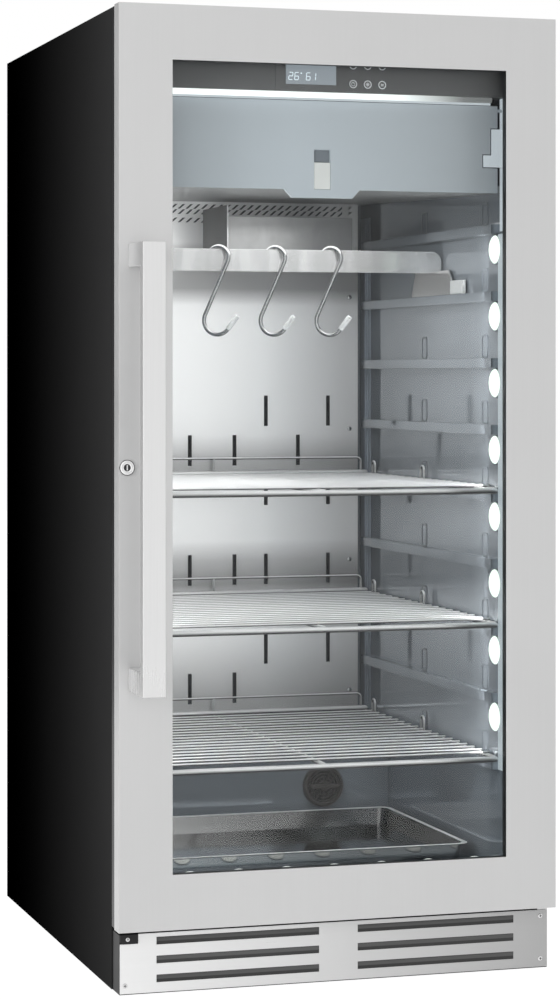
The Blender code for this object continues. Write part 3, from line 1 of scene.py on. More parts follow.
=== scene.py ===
# %% [markdown]
# A dry aging cabinet is a fridge with a glass door: a black steel case, a brushed steel door frame,
# and a lined chamber with wire shelves, meat hooks and lamps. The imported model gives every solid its
# place, so this lesson only dresses it: finishes for the solids that are right as they are, and finer
# surfaces where a plain solid is too coarse to look at.

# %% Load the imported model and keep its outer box
import math

import bmesh
import bpy
import numpy as np
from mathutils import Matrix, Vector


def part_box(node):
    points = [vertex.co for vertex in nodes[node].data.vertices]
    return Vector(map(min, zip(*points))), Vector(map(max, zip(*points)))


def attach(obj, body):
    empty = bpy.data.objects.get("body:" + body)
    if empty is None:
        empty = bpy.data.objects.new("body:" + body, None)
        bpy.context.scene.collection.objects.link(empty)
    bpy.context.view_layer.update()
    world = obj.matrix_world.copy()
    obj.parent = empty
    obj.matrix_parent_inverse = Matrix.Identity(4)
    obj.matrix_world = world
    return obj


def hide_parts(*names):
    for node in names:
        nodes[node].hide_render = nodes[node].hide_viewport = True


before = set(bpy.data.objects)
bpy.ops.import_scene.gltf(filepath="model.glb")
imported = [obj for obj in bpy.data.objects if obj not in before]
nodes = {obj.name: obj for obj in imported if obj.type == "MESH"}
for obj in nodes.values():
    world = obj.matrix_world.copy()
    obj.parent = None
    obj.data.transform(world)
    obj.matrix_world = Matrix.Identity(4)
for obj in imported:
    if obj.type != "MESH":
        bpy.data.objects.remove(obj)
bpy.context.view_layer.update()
mm = 0.001


# %% [markdown]
# The photograph looks at the door from the left, level with the upper shelf, through a long lens, so
# uprights stay upright. A level camera with a shifted frame gives the same picture.

# %% The camera
camera_place = (-1.1321, -3.6490, 0.7891)
camera_turn = math.radians(-16.61)
camera_lens = 98.06
camera_shift = (0.04, -0.1244)


def make_camera():
    """A level camera turned towards the door, its frame shifted sideways and down."""
    camera = bpy.data.objects.new("camera", bpy.data.cameras.new("camera"))
    bpy.context.collection.objects.link(camera)
    camera.location = camera_place
    camera.rotation_euler = (math.pi / 2, 0, camera_turn)
    camera.data.lens = camera_lens
    camera.data.shift_x, camera.data.shift_y = camera_shift
    bpy.context.scene.camera = camera


make_camera()
print("camera at", camera_place)


# %% [markdown]
# Materials are graphs of nodes. A few short helpers keep each graph readable: one adds a node with its
# settings, others mix, scale and darken, and one starts a material and hands back its Principled shader.

# %% Helpers for shader nodes
looks = {}


def feed(tree, target, inputs):
    """Set a node's inputs by name or number; a value that is a socket is linked."""
    for label, value in inputs.items():
        if isinstance(value, bpy.types.NodeSocket):
            tree.links.new(value, target.inputs[label])
        else:
            target.inputs[label].default_value = value


def add_node(tree, kind, inputs=None, **settings):
    """The outputs of a new node; settings are its options, inputs are values or other nodes' outputs."""
    made = tree.nodes.new("ShaderNode" + kind)
    for label, value in settings.items():
        setattr(made, label, value)
    feed(tree, made, inputs or {})
    return made.outputs


def start_material(name):
    """A new material, kept under its name: its tree and its Principled shader."""
    looks[name] = bpy.data.materials.new(name)
    looks[name].use_nodes = True
    print("finish:", name)
    tree = looks[name].node_tree
    return tree, tree.nodes["Principled BSDF"]


def grey(level):
    """A neutral colour."""
    return (level, level, level, 1.0)


def mix_colours(tree, share, first, second):
    """The output of a Mix node between two colours."""
    return add_node(tree, "Mix", {0: share, 6: first, 7: second}, data_type="RGBA")[2]


def maths(tree, operation, first, second):
    """The output of a Math node."""
    return add_node(tree, "Math", {0: first, 1: second}, operation=operation)[0]


def spread(tree, value, low, high, start=0.0, end=1.0):
    """The output of a Map Range node that carries a value from one range to another."""
    return add_node(tree, "MapRange", {
        "Value": value, "From Min": start, "From Max": end, "To Min": low, "To Max": high})["Result"]


def object_place(tree):
    """Object coordinates, in metres here."""
    return add_node(tree, "TexCoord")["Object"]


def one_axis(tree, vector, axis):
    """One part of a vector."""
    return add_node(tree, "SeparateXYZ", {"Vector": vector})[axis]


def true_normal(tree):
    """The normal of the face that is looked at."""
    return add_node(tree, "NewGeometry")["Normal"]


def noise(tree, place, scale, detail=2.0, roughness=0.5):
    """The output of a Noise node."""
    return add_node(tree, "TexNoise", {
        "Vector": place, "Scale": scale, "Detail": detail, "Roughness": roughness})["Fac"]


def darken(tree, tone, share):
    """A tone of which only a share is left."""
    return mix_colours(tree, share, grey(0.0), tone)


def paint_shade_along(tree, tone, fades):
    """Painted shade along axes; each entry is (axis, first place, last place, share there, share here)."""
    for axis, first, last, low, high in fades:
        place = one_axis(tree, object_place(tree), axis)
        tone = darken(tree, tone, spread(tree, place, low, high, first, last))
    return tone


def paint_shade_by_height(tree, tone, stops):
    """Painted shade by height, through a ramp; stops are (height, share left), in rising order."""
    (first, low), (last, high) = stops[0], stops[-1]
    height = one_axis(tree, object_place(tree), "Z")
    ramp = add_node(tree, "ValToRGB", {"Fac": spread(tree, height, 0.0, 1.0, first, last)})["Color"]
    band = ramp.node.color_ramp.elements
    band[0].color, band[1].color = grey(low), grey(high)
    for spot, share in stops[1:-1]:
        band.new((spot - first) / (last - first)).color = grey(share)
    return darken(tree, tone, ramp)


def bump(tree, shader, height, strength, depth):
    """Feed a height into the shader's normal."""
    feed(tree, shader, {"Normal": add_node(tree, "Bump", {
        "Strength": strength, "Distance": depth, "Height": height})["Normal"]})


def show_blend(tree, share, first, second, end="Material Output"):
    """Send a blend of two shaders to the output."""
    feed(tree, tree.nodes[end], {"Surface": add_node(tree, "MixShader", {0: share, 1: first, 2: second})[0]})


print("helpers for shader nodes are ready")


# %% [markdown]
# Brushed steel is scratched along one direction. Noise on Object coordinates, squeezed across the
# strokes and stretched along them, gives that grain at its real size on every steel piece. The same
# group serves them all: each material says which way its strokes run.

# %% A shared group for brush strokes
groups = {}
noise_span = (0.3, 0.7)
band_share = 0.09


def start_group(name, inputs, outputs):
    """A shader node group, kept under its name, whose inputs and outputs are named here."""
    tree = groups[name] = bpy.data.node_groups.new(name, "ShaderNodeTree")
    for label, value in inputs.items():
        kind = "NodeSocketVector" if isinstance(value, tuple) else "NodeSocketFloat"
        tree.interface.new_socket(label, in_out="INPUT", socket_type=kind).default_value = value
    for label in outputs:
        tree.interface.new_socket(label, in_out="OUTPUT", socket_type="NodeSocketFloat")
    print("group:", name)
    return tree, tree.nodes.new("NodeGroupInput").outputs, tree.nodes.new("NodeGroupOutput")


def use_group(tree, name, inputs):
    """The outputs of a shared group placed in a material, with its own values."""
    return add_node(tree, "Group", inputs, node_tree=groups[name])


def make_grain_group():
    """Fine strokes plus a slower banding; Stretch is the number of features a metre along each axis."""
    tree, start, end = start_group("brush_strokes", {"Stretch": (400, 400, 6)}, ("Grain", "Bands"))
    fine = add_node(tree, "Mapping", {"Vector": object_place(tree), "Scale": start["Stretch"]})["Vector"]
    coarse = add_node(tree, "Mapping", {"Vector": fine, "Scale": (band_share,) * 3})["Vector"]
    feed(tree, end, {"Grain": noise(tree, fine, 1.0, 4.0, 0.7), "Bands": noise(tree, coarse, 1.0)})


make_grain_group()


# %% [markdown]
# Nothing real has one even tone. A slow cloud of noise stands for rolled sheet that is not quite flat
# and for the haze that hands and cleaning leave, and a sharper one gives specks of dust that lie on
# faces turned upwards.

# %% Shared groups for haze and dust
def make_haze_group():
    """Slow noise; Scale is the number of clouds a metre."""
    tree, start, end = start_group("slow_haze", {"Scale": 5.0}, ["Haze"])
    feed(tree, end, {"Haze": noise(tree, object_place(tree), start["Scale"], 3.0, 0.55)})


def make_dust_group():
    """Specks where noise is high, kept to faces whose normal points up; Amount scales the mask."""
    tree, start, end = start_group("settled_dust", {"Amount": 0.3, "Scale": 900.0}, ["Dust"])
    specks = spread(tree, noise(tree, object_place(tree), start["Scale"], 2.0, 0.6), 0.0, 1.0, 0.55, 0.72)
    upward = spread(tree, one_axis(tree, true_normal(tree), "Z"), 0.0, 1.0, 0.3, 0.9)
    both = maths(tree, "MULTIPLY", specks, upward)
    feed(tree, end, {"Dust": maths(tree, "MULTIPLY", both, start["Amount"])})


make_haze_group()
make_dust_group()


# %% [markdown]
# Edges of a sheet catch light and lose their finish first. The Bevel node reads a rounded normal; where
# it differs from the true one, there is an edge.

# %% A shared group for worn edges
def make_edge_group():
    """One minus the dot product of the rounded and the true normal, sharpened; Radius is in metres."""
    tree, start, end = start_group("worn_edges", {"Radius": 0.001}, ["Edge"])
    rounded = add_node(tree, "Bevel", {"Radius": start["Radius"]}, samples=4)["Normal"]
    dot = add_node(tree, "VectorMath", {0: rounded, 1: true_normal(tree)}, operation="DOT_PRODUCT")["Value"]
    feed(tree, end, {"Edge": spread(tree, dot, 1.0, 0.0, 0.7, 0.98)})


make_edge_group()


# %% [markdown]
# Every metal here is a Principled shader with a high Metallic. The strokes tilt its tone and, where a
# sheet is brushed, its roughness and normal too. Finely brushed sheet scatters much of its light, so it
# takes a part of plain diffuse tone. Some tones also carry painted shade: darker along an axis, and in
# bands of height, as on the back panel by each shelf and under the beam. On wire and hooks, painted
# shade darkens the faces turned down.

# %% Metals
edge_width = 1.2 * mm
edge_tone = 0.9
stroke_depth = 0.2 * mm
underside_shade_span = (-0.4, 0.4)


def metal(name, dark, light, stretch, roughness, unevenness=0.0, relief=0.0, haze=0.04, share=1.0,
          painted_fade=(), wear=0.0, heights=(), under=1.0):
    """Metal; dark and light bound its tone, stretch is the strokes' direction, share is its Metallic.
    Painted shade may darken the tone along axes, in bands of height, and on faces turned down, where
    under is the share of tone left."""
    tree, shader = start_material(name)
    grain = use_group(tree, "brush_strokes", {"Stretch": stretch})
    toned = mix_colours(tree, grain["Grain"], grey(dark), grey(light))
    toned = mix_colours(tree, spread(tree, grain["Bands"], 0.0, haze, *noise_span), toned, grey(1.0))
    if wear:
        edge = use_group(tree, "worn_edges", {"Radius": edge_width})["Edge"]
        toned = mix_colours(tree, spread(tree, edge, 0.0, wear), toned, grey(edge_tone))
    # Painted shade along axes.
    toned = paint_shade_along(tree, toned, painted_fade)
    # Painted shade in bands of height.
    if heights:
        toned = paint_shade_by_height(tree, toned, heights)
    # Painted shade: faces turned down keep only a share of the tone.
    if under < 1:
        turned = one_axis(tree, true_normal(tree), "Z")
        toned = darken(tree, toned, spread(tree, turned, under, 1.0, *underside_shade_span))
    if unevenness:
        rough = spread(tree, grain["Grain"], roughness - unevenness, roughness + unevenness, *noise_span)
        cloud = use_group(tree, "slow_haze", {"Scale": 6.0})["Haze"]
        roughness = maths(tree, "MULTIPLY", rough, spread(tree, cloud, 0.85, 1.15, *noise_span))
    feed(tree, shader, {"Base Color": toned, "Metallic": share, "Roughness": roughness})
    if relief:
        bump(tree, shader, grain["Grain"], relief, stroke_depth)


upright_strokes = (420, 420, 5)
level_strokes = (5, 420, 420)
deep_strokes = (420, 5, 420)
no_strokes = (60, 60, 60)
# Painted shade on the back panel, as (height, share left): darker in narrow bands by the shelves
# and under the beam, and towards the bottom.
shelf_shadow_bands = (
    (0.27, 0.5), (0.30, 0.58), (0.345, 0.72), (0.40, 1.0), (0.45, 1.0), (0.474, 0.42), (0.49, 0.46),
    (0.51, 0.58), (0.54, 1.0), (0.62, 1.0), (0.645, 0.5), (0.665, 0.6), (0.70, 0.96), (0.73, 1.0),
    (0.895, 1.0), (0.92, 0.42), (0.97, 0.45), (0.99, 1.0), (1.02, 1.0))

metal("door_steel", 0.63, 0.66, upright_strokes, 0.4, 0.02, 0.015, 0.02, 0.4, wear=0.35)
metal("handle_steel", 0.70, 0.78, upright_strokes, 0.3, 0.02, 0.03, share=0.55, wear=0.35)
# Painted shade: the plinth darkens towards its right end.
metal("plinth_steel", 0.86, 0.90, level_strokes, 0.34, 0.02, 0.015, 0.03, 0.45,
      [("X", -0.29, 0.29, 1.0, 0.5)], 0.35)
# Painted shade: the back panel darkens towards the right and in bands of height.
metal("panel_steel", 0.96, 0.98, upright_strokes, 0.3, share=0.65, painted_fade=[("X", 0.08, 0.21, 1.0, 0.6)],
      heights=shelf_shadow_bands)
metal("beam_steel", 0.38, 0.44, (300, 40, 40), 0.22, haze=0.45, share=0.85)
metal("edge_steel", 0.62, 0.70, level_strokes, 0.22, 0.02, share=0.85, wear=0.35)
# Painted shade: the fan duct darkens towards the right.
metal("duct_steel", 0.28, 0.66, (26, 26, 14), 0.3, share=0.8, painted_fade=[("X", 0.04, 0.18, 1.0, 0.5)])
metal("mesh_steel", 0.02, 0.16, (500, 500, 500), 0.4, 0.04, 0.5, wear=0.35)
# Painted shade: the slots' lips and fins are dark plates for the shade inside the plinth's slots.
metal("slot_lip_shade", 0.05, 0.08, level_strokes, 0.5, 0.02, 0.03, 0.05, 0.2)
metal("slot_fin_shade", 0.003, 0.005, level_strokes, 0.6, 0.02, 0.03, share=0.0)
# Painted shade: the wires darken on faces turned down.
metal("wire_steel", 0.91, 0.95, no_strokes, 0.28, share=0.62, under=0.1)
# Painted highlight: a near-white, mostly plain tone for the band on the tray's rim.
metal("rim_highlight", 0.94, 0.97, no_strokes, 0.3, share=0.2)
metal("lock_steel", 0.93, 0.97, no_strokes, 0.25, share=0.4)
# Painted shade: the hooks and the lock darken on faces turned down.
metal("hook_steel", 0.70, 0.78, no_strokes, 0.09, under=0.5)
# Painted shade: the tray darkens towards the right.
metal("tray_steel", 0.43, 0.49, deep_strokes, 0.11, painted_fade=[("X", -0.16, 0.06, 1.0, 0.45)])
metal("zinc_plate", 0.46, 0.62, no_strokes, 0.38, 0.02, 0.03, wear=0.35)
metal("fin_aluminium", 0.55, 0.68, level_strokes, 0.36, 0.02, 0.03, wear=0.35)
metal("screw_steel", 0.6, 0.74, no_strokes, 0.2, 0.03, wear=0.35)


# %% [markdown]
# Paints, plastics and rubber share one recipe too: a base tone with a slow haze, a fine moulded or
# sprayed texture in the bump, worn edges, and dust on what faces up. Some also take painted shade along
# an axis.

# %% Paints and plastics
paint_edge = 1 * mm
peel_depth = 0.4 * mm
dust_colour = (0.55, 0.54, 0.52, 1.0)


def scaled(colour, scale, rise=0.0):
    """A colour multiplied and raised, kept below one."""
    return tuple(min(1.0, scale * part + rise) for part in colour) + (1.0,)


def coating(name, colour, roughness, shine=0.5, texture=700.0, relief=0.06, wear=0.1, dust=0.0, vary=0.12,
            share=0.0, painted_fade=()):
    """A painted or moulded finish; colour is linear, shine the specular level, share the Metallic;
    painted shade may darken it along axes.
    """
    tree, shader = start_material(name)
    cloud = use_group(tree, "slow_haze", {"Scale": 7.0})["Haze"]
    toned = mix_colours(
        tree, spread(tree, cloud, 0.0, 1.0, 0.35, 0.65), scaled(colour, 1 - vary), scaled(colour, 1 + vary))
    edge = use_group(tree, "worn_edges", {"Radius": paint_edge})["Edge"]
    toned = mix_colours(tree, spread(tree, edge, 0.0, wear), toned, scaled(colour, 0.5, 0.35))
    if dust:
        specks = use_group(tree, "settled_dust", {"Amount": dust})["Dust"]
        toned = mix_colours(tree, specks, toned, dust_colour)
    # Painted shade along axes darkens the base colour.
    feed(tree, shader, {
        "Base Color": paint_shade_along(tree, toned, painted_fade), "Specular IOR Level": shine, "Metallic": share,
        "Roughness": spread(tree, cloud, roughness * 0.88, roughness * 1.12, *noise_span)})
    bump(tree, shader, noise(tree, object_place(tree), texture), relief, peel_depth)


coating("case_black", (0.012, 0.012, 0.0122), 0.5, 0.05, 900.0, 0.03, 0.02, 0.03, 0.04)
# Painted shade: the black side darkens to black towards the rear.
coating("side_black", (0.035, 0.035, 0.0353), 0.5, 0.0, 900.0, 0.03, 0.0, 0.0, 0.02,
        painted_fade=[("Y", -0.26, 0.37, 1.0, 0.0)] * 2)
coating("door_black", (0.012, 0.012, 0.013), 0.4, 0.4, 600.0, 0.05, 0.03)
coating("base_black", (0.009, 0.009, 0.01), 0.5, 0.3, 700.0, 0.08, 0.04, 0.15)
# Painted shade: the liner darkens upwards, from 0.25 m to 0.62 m high.
coating("liner_blue", (0.29, 0.325, 0.36), 0.06, 0.95, 30.0, 0.008, 0.2, 0.0, 0.04, 0.45,
        [("Z", 0.25, 0.62, 1.0, 0.72)])
coating("frame_blue", (0.38, 0.43, 0.48), 0.25, 0.5, 300.0, 0.03, 0.1)
# Painted shade: the flap darkens towards the right.
coating("flap_blue", (0.575, 0.62, 0.665), 0.25, 0.4, 60.0, 0.01, 0.1, 0.0, 0.02,
        painted_fade=[("X", -0.05, 0.28, 1.0, 0.74)])
coating("housing_grey", (0.20, 0.205, 0.205), 0.35, 0.5, 40.0, 0.01, 0.1, 0.0, 0.04, 0.3)
# Painted shade: the control panel darkens towards the right.
coating("fascia_grey", (0.16, 0.16, 0.162), 0.45, 0.3, 900.0, 0.05, 0.04, 0.0, 0.03,
        painted_fade=[("X", -0.1, 0.25, 1.0, 0.74)])
coating("cap_grey", (0.062, 0.058, 0.055), 0.5, 0.4, 500.0, 0.1, 0.08)
coating("border_black", (0.002, 0.002, 0.002), 0.6, 0.0, wear=0.0)
# Painted shade: the raised marks on the walls are darker than the liner they are moulded in.
coating("mark_shade", (0.09, 0.1, 0.115), 0.4, 0.3, wear=0.0)
coating("corner_blue", (0.24, 0.275, 0.31), 0.35, 0.4, 60.0, 0.01, 0.0)
# Painted shade: a dark plate on the floor of the latch's recess.
coating("recess_shade", (0.19, 0.21, 0.235), 0.5, 0.2)
coating("button_grey", (0.085, 0.085, 0.087), 0.4, 0.4, 800.0, 0.04, 0.05)
coating("sign_white", (0.80, 0.82, 0.83), 0.4, 0.4, 800.0, 0.02, 0.0)
coating("white_plastic", (0.80, 0.80, 0.78), 0.34, 0.5, 500.0, 0.03, 0.05)
coating("sleeve_white", (0.38, 0.39, 0.39), 0.3, 0.4, 500.0, 0.02, 0.0)
coating("foam_yellow", (0.72, 0.60, 0.33), 0.9, 0.2, 250.0, 0.6, 0.0)
coating("rubber_black", (0.02, 0.02, 0.021), 0.6, 0.3, 900.0, 0.1, 0.02, 0.1)
coating("fan_black", (0.022, 0.022, 0.024), 0.45, 0.4, 700.0, 0.05, 0.05, 0.2)
coating("compressor_black", (0.012, 0.012, 0.013), 0.35, 0.5, 500.0, 0.08, 0.05, 0.3)


# %% [markdown]
# Glass lets light through. A path tracer would find the lamps behind two panes only by luck, so shadow
# and diffuse rays pass straight through, and the eye still sees true glass with its soft reflection.

# %% Glass
glass_tint = (0.985, 0.99, 0.99, 1.0)
clear_tint = (0.97, 0.98, 0.98, 1.0)
glass_bend = 1.18


def make_glass():
    """Clear glass with a low index, so that four faces together mirror about as much as coated panes."""
    tree, shader = start_material("door_glass")
    feed(tree, shader, {
        "Base Color": glass_tint, "Roughness": 0.0, "IOR": glass_bend, "Transmission Weight": 1.0})
    path = add_node(tree, "LightPath")
    straight = maths(tree, "MAXIMUM", path["Is Shadow Ray"], path["Is Diffuse Ray"])
    show_blend(tree, straight, shader.outputs[0], add_node(tree, "BsdfTransparent", {"Color": clear_tint})[0])


make_glass()


# %% [markdown]
# The lamps are frosted covers over small diodes. Each cover glows a little unevenly, as frosting does.
# Through the Light Path node a cover can throw more light into the chamber than the eye sees on it, so
# it stays a soft white and still lights its surroundings. The same recipe also paints light on plain
# parts that are no lamps, and painted shade may dim a glow along an axis.

# %% Glowing covers
def glowing(name, colour, strength, base=0.8, thrown=1.0, painted_fade=()):
    """A frosted cover with its own light, or painted light on a part that is no lamp; base is its plain
    tone, thrown the light beyond what shows, and painted shade may dim the glow along axes.
    """
    tree, shader = start_material(name)
    cloud = use_group(tree, "slow_haze", {"Scale": 60.0})["Haze"]
    uneven = spread(tree, cloud, 0.0, 0.35, *noise_span)
    glow = mix_colours(tree, uneven, scaled(colour, 1.0), scaled(colour, 0.9))
    seen = add_node(tree, "LightPath")["Is Camera Ray"]
    # Painted shade along axes may dim the glow.
    feed(tree, shader, {
        "Base Color": grey(base), "Roughness": 0.35, "Emission Color": paint_shade_along(tree, glow, painted_fade),
        "Emission Strength": spread(tree, seen, strength * thrown, strength)})


glowing("lamp_glow", (0.84, 0.95, 0.87), 0.72, 0.04, 1.8)
glowing("sill_glow", (0.90, 0.95, 0.90), 0.75, 0.2)
# Painted light: the lamp strips' carriers are no lamps; they glow as if lit by their domes.
glowing("strip_painted_light", (0.36, 0.42, 0.45), 0.9, 0.1)
# Painted light: the trims round the flap are no lamps; they glow so that they look lit.
glowing("trim_painted_light", (0.46, 0.515, 0.55), 0.9, 0.1)
# Painted shade: the light bar's glow dims towards the right.
glowing("bar_glow", (0.88, 0.94, 0.93), 0.8, 0.05, 1.6, [("X", 0.09, 0.19, 1.0, 0.12)])
glowing("digit_glow", (0.80, 0.93, 1.0), 0.75, 0.3)
glowing("display_blue", (0.27, 0.31, 0.345), 0.85, 0.05)


# %% [markdown]
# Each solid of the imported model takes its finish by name. Its mesh stays untouched; a Weld, a planar
# Decimate and a Bevel modifier round its sharp edges, as a folded or moulded edge is round.

# %% Give the solids their finishes
weld_reach = 0.01 * mm
key_kinds = ("power", "light", "set", "up", "down", "humidity")
finishes = {  # finish: {solid: radius of its edges in mm}
    "door_steel": {"door_skin": 0.35},
    "door_black": {"door_core": 0.5, "glass_spacer": 0},
    "door_glass": {"outer_glass": 0, "inner_glass": 0},
    "handle_steel": {"door_handle": 1.6},
    "hook_steel": {"lock_cylinder": 0.4, "meat_hook_1": 0, "meat_hook_2": 0, "meat_hook_3": 0},
    "side_black": {"left_side_panel": 0.35},
    "case_black": {"right_side_panel": 0.35, "top_panel": 0.35, "rear_panel": 0.3},
    "base_black": {"base_pan": 0.4},
    "foam_yellow": {"foam_insulation": 0},
    "frame_blue": {"front_frame": 0.8},
    "liner_blue": {"side_liner_left": 1.6, "side_liner_right": 1.6, "floor_liner": 0.8, "rear_liner": 0,
                   "ceiling_liner": 0},
    "housing_grey": {"evaporator_tray": 0.8},
    "fin_aluminium": {"evaporator_coil": 0, "condenser": 0.3},
    "fan_black": {"evaporator_fan": 0.4, "condenser_fan": 0.4},
    "panel_steel": {"steel_back_panel": 0.2},
    "duct_steel": {"fan_duct_cover": 0.4},
    "fascia_grey": {"control_panel": 0.3},
    "display_blue": {"display_window": 0.2},
    "bar_glow": {"light_bar": 0.8},
    "flap_blue": {"evaporator_flap": 1},
    "white_plastic": {"flap_latch": 0.7},
    "beam_steel": {"hanger_beam": 0.5},
    "cap_grey": {"filter_cap": 0.6},
    "plinth_steel": {"plinth_panel": 0.3},
    "zinc_plate": {"lower_hinge_bracket": 0.4, "upper_hinge_bracket": 0.4},
    "compressor_black": {"compressor": 0.5},
    "lamp_glow": {"lamp_strip_left": 0, "lamp_strip_right": 0},
    "sill_glow": {"lamp_strip_sill": 0},
    "tray_steel": {"drip_tray": 0},
    "wire_steel": {"shelf_1": 0, "shelf_2": 0, "shelf_3": 0},
    "rubber_black": {"door_gasket": 1.2, "power_inlet": 0.8, "spare_hinge_cap": 0.6, "foot_1": 0.5,
                     "foot_2": 0.5, "foot_3": 0.5, "foot_4": 0.5},
    "button_grey": {"key_" + kind: 0.3 for kind in key_kinds},
}


def round_edges(thing, radius, degrees):
    """A bevel of two steps on the edges that are sharper than an angle."""
    rounded = thing.modifiers.new("round", "BEVEL")
    rounded.width = radius
    rounded.segments = 2
    rounded.limit_method = "ANGLE"
    rounded.angle_limit = math.radians(degrees)
    rounded.harden_normals = True


def dress(name, look, radius):
    """Put a finish on a solid and round its edges by a radius, or leave them when it is zero."""
    thing = nodes[name]
    thing.data.materials.clear()
    thing.data.materials.append(looks[look])
    if radius:
        thing.modifiers.new("weld", "WELD").merge_threshold = weld_reach
        flat = thing.modifiers.new("flat", "DECIMATE")
        flat.decimate_type = "DISSOLVE"
        flat.angle_limit = math.radians(1)
        round_edges(thing, radius, 40)


for look, solids in finishes.items():
    for name, radius in solids.items():
        dress(name, look, radius * mm)
print("dressed", sum(len(solids) for solids in finishes.values()), "solids of", len(nodes))


# %% [markdown]
# The finer pieces are surfaces worked out with numpy: a grid of points, or a profile carried along a
# path, all as whole arrays. A shape here is a pair: its points and its faces.

# %% Helpers for surfaces
close_reach = 0.005 * mm
crease_degrees = 35
forwards = (0, -1, 0)
upright = (0, 0, 1)


def unit(vector):
    """A vector of length one."""
    return vector / np.linalg.norm(vector)


def middle_of(name):
    """The middle of a node's box."""
    low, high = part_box(name)
    return (np.array(low) + np.array(high)) / 2


def grid_faces(rows, columns, close_rows=False):
    """Quads over a grid of points whose rows are rings; closed rows join the last ring to the first."""
    row, column = np.meshgrid(np.arange(rows if close_rows else rows - 1), np.arange(columns), indexing="ij")
    next_row = (row + 1) % rows
    next_column = (column + 1) % columns
    quads = (row * columns + column, row * columns + next_column,
             next_row * columns + next_column, next_row * columns + column)
    return np.stack(quads, axis=-1).reshape(-1, 4).tolist()


def ring_points(count, start=0.0, span=math.tau, whole=True):
    """Cosines and sines of evenly spaced angles, round a whole ring or along an arc."""
    angles = start + span * np.arange(count) / (count if whole else count - 1)
    return np.cos(angles), np.sin(angles)


def tube(path, radius, normal, sides=14):
    """A round wire: path + radius * (cos a * side + sin a * normal), the path lying in one plane."""
    path, radius = round_ends(np.asarray(path, dtype=float), radius)
    heading = np.vstack([path[1:], path[-1:]]) - np.vstack([path[:1], path[:-1]])
    heading /= np.linalg.norm(heading, axis=1, keepdims=True)
    side = np.cross(normal, heading)
    cosine, sine = ring_points(sides)
    points = path[:, None, :] + radius[:, None, None] * (
        cosine[None, :, None] * side[:, None, :] + sine[None, :, None] * np.asarray(normal, dtype=float))
    return points.reshape(-1, 3), grid_faces(len(path), sides)


def round_ends(path, radius):
    """Add a hemisphere at both ends: each step goes out by r sin a while the radius falls to r cos a."""
    angles = np.radians((0, 30, 60, 82, 90))
    first, last = unit(path[0] - path[1]), unit(path[-1] - path[-2])
    out = radius * np.sin(angles)[:, None] - radius
    fall = radius * np.cos(angles)
    whole = np.vstack([path[0] + (out * first)[::-1], path[1:-1], path[-1] + out * last])
    return whole, np.concatenate([fall[::-1], np.full(len(path) - 2, radius), fall])


def join(shapes):
    """Several shapes as one, the faces' numbers moved on by the points before them."""
    points, faces, count = [], [], 0
    for shape_points, shape_faces in shapes:
        points.append(shape_points)
        faces += [[index + count for index in face] for face in shape_faces]
        count += len(shape_points)
    return np.concatenate(points), faces


def add_piece(name, shapes, look, body, stands_for=None, radius=0.0, crease=crease_degrees):
    """One mesh from several shapes: seams and poles closed, faces outwards, riding on a body."""
    points, faces = join(shapes)
    mesh = bpy.data.meshes.new(name)
    mesh.from_pydata(points.tolist(), [], faces)
    shape = bmesh.new()
    shape.from_mesh(mesh)
    bmesh.ops.remove_doubles(shape, verts=shape.verts, dist=close_reach)
    bmesh.ops.recalc_face_normals(shape, faces=shape.faces)
    shape.to_mesh(mesh)
    shape.free()
    mesh.materials.append(looks[look])
    mesh.shade_smooth()
    mesh.set_sharp_from_angle(angle=math.radians(crease))
    piece = bpy.data.objects.new(name, mesh)
    bpy.context.collection.objects.link(piece)
    if radius:
        round_edges(piece, radius, crease)
    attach(piece, body)
    if stands_for:
        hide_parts(stands_for)
    print("piece:", name, "of", len(mesh.polygons), "faces")


print("helpers for surfaces are ready")


# %% [markdown]
# A meat hook is one bent rod: a small loop over the beam, a straight shank and a larger bowl that ends
# in a straight tip under a white sleeve. Two arcs and their common tangent give the centre line, and a
# circle carried along it gives the rod. The hooks hang turned towards the door.

# %% The meat hooks
hook_wire = 2.8 * mm
hook_top_radius = 15 * mm
hook_bottom_radius = 20 * mm
hook_drop = 87.5 * mm
hook_shift = 1.6 * mm
hook_tip = 22 * mm
hook_pitch = 82 * mm
hook_rest = 0.75 * mm
hook_turn = math.radians(52)
hook_start_degrees = 195
hook_end_degrees = 322
tip_slope = math.radians(52)
sleeve_wall = 0.9 * mm
sleeve_overlap = 1.5 * mm
beam_low, beam_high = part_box("hanger_beam")
beam_y = beam_low[1] + 94 * mm


def arc_points(centre, radius, first_degrees, last_degrees, count):
    """Points on part of a circle: centre + radius (cos a, sin a)."""
    start = math.radians(first_degrees)
    cosine, sine = ring_points(count, start, math.radians(last_degrees) - start, False)
    return np.column_stack([centre[0] + radius * cosine, centre[1] + radius * sine])


def across_axis(axis):
    """Two directions square to an axis and to each other."""
    u = unit(np.cross(axis, upright if abs(axis[2]) < 0.9 else (1, 0, 0)))
    return u, np.cross(axis, u)


def lathe(profile, centre, axis, sides=32):
    """A profile of (radius, reach) turned round an axis: centre + r (cos a u + sin a v) + reach axis."""
    profile = np.asarray(profile, dtype=float)
    axis = np.asarray(axis, dtype=float)
    u, v = across_axis(axis)
    cosine, sine = ring_points(sides)
    spoke = cosine[:, None] * u + sine[:, None] * v
    points = np.asarray(centre) + profile[:, :1, None] * spoke + profile[:, 1:, None] * axis
    return points.reshape(-1, 3), grid_faces(len(profile), sides)


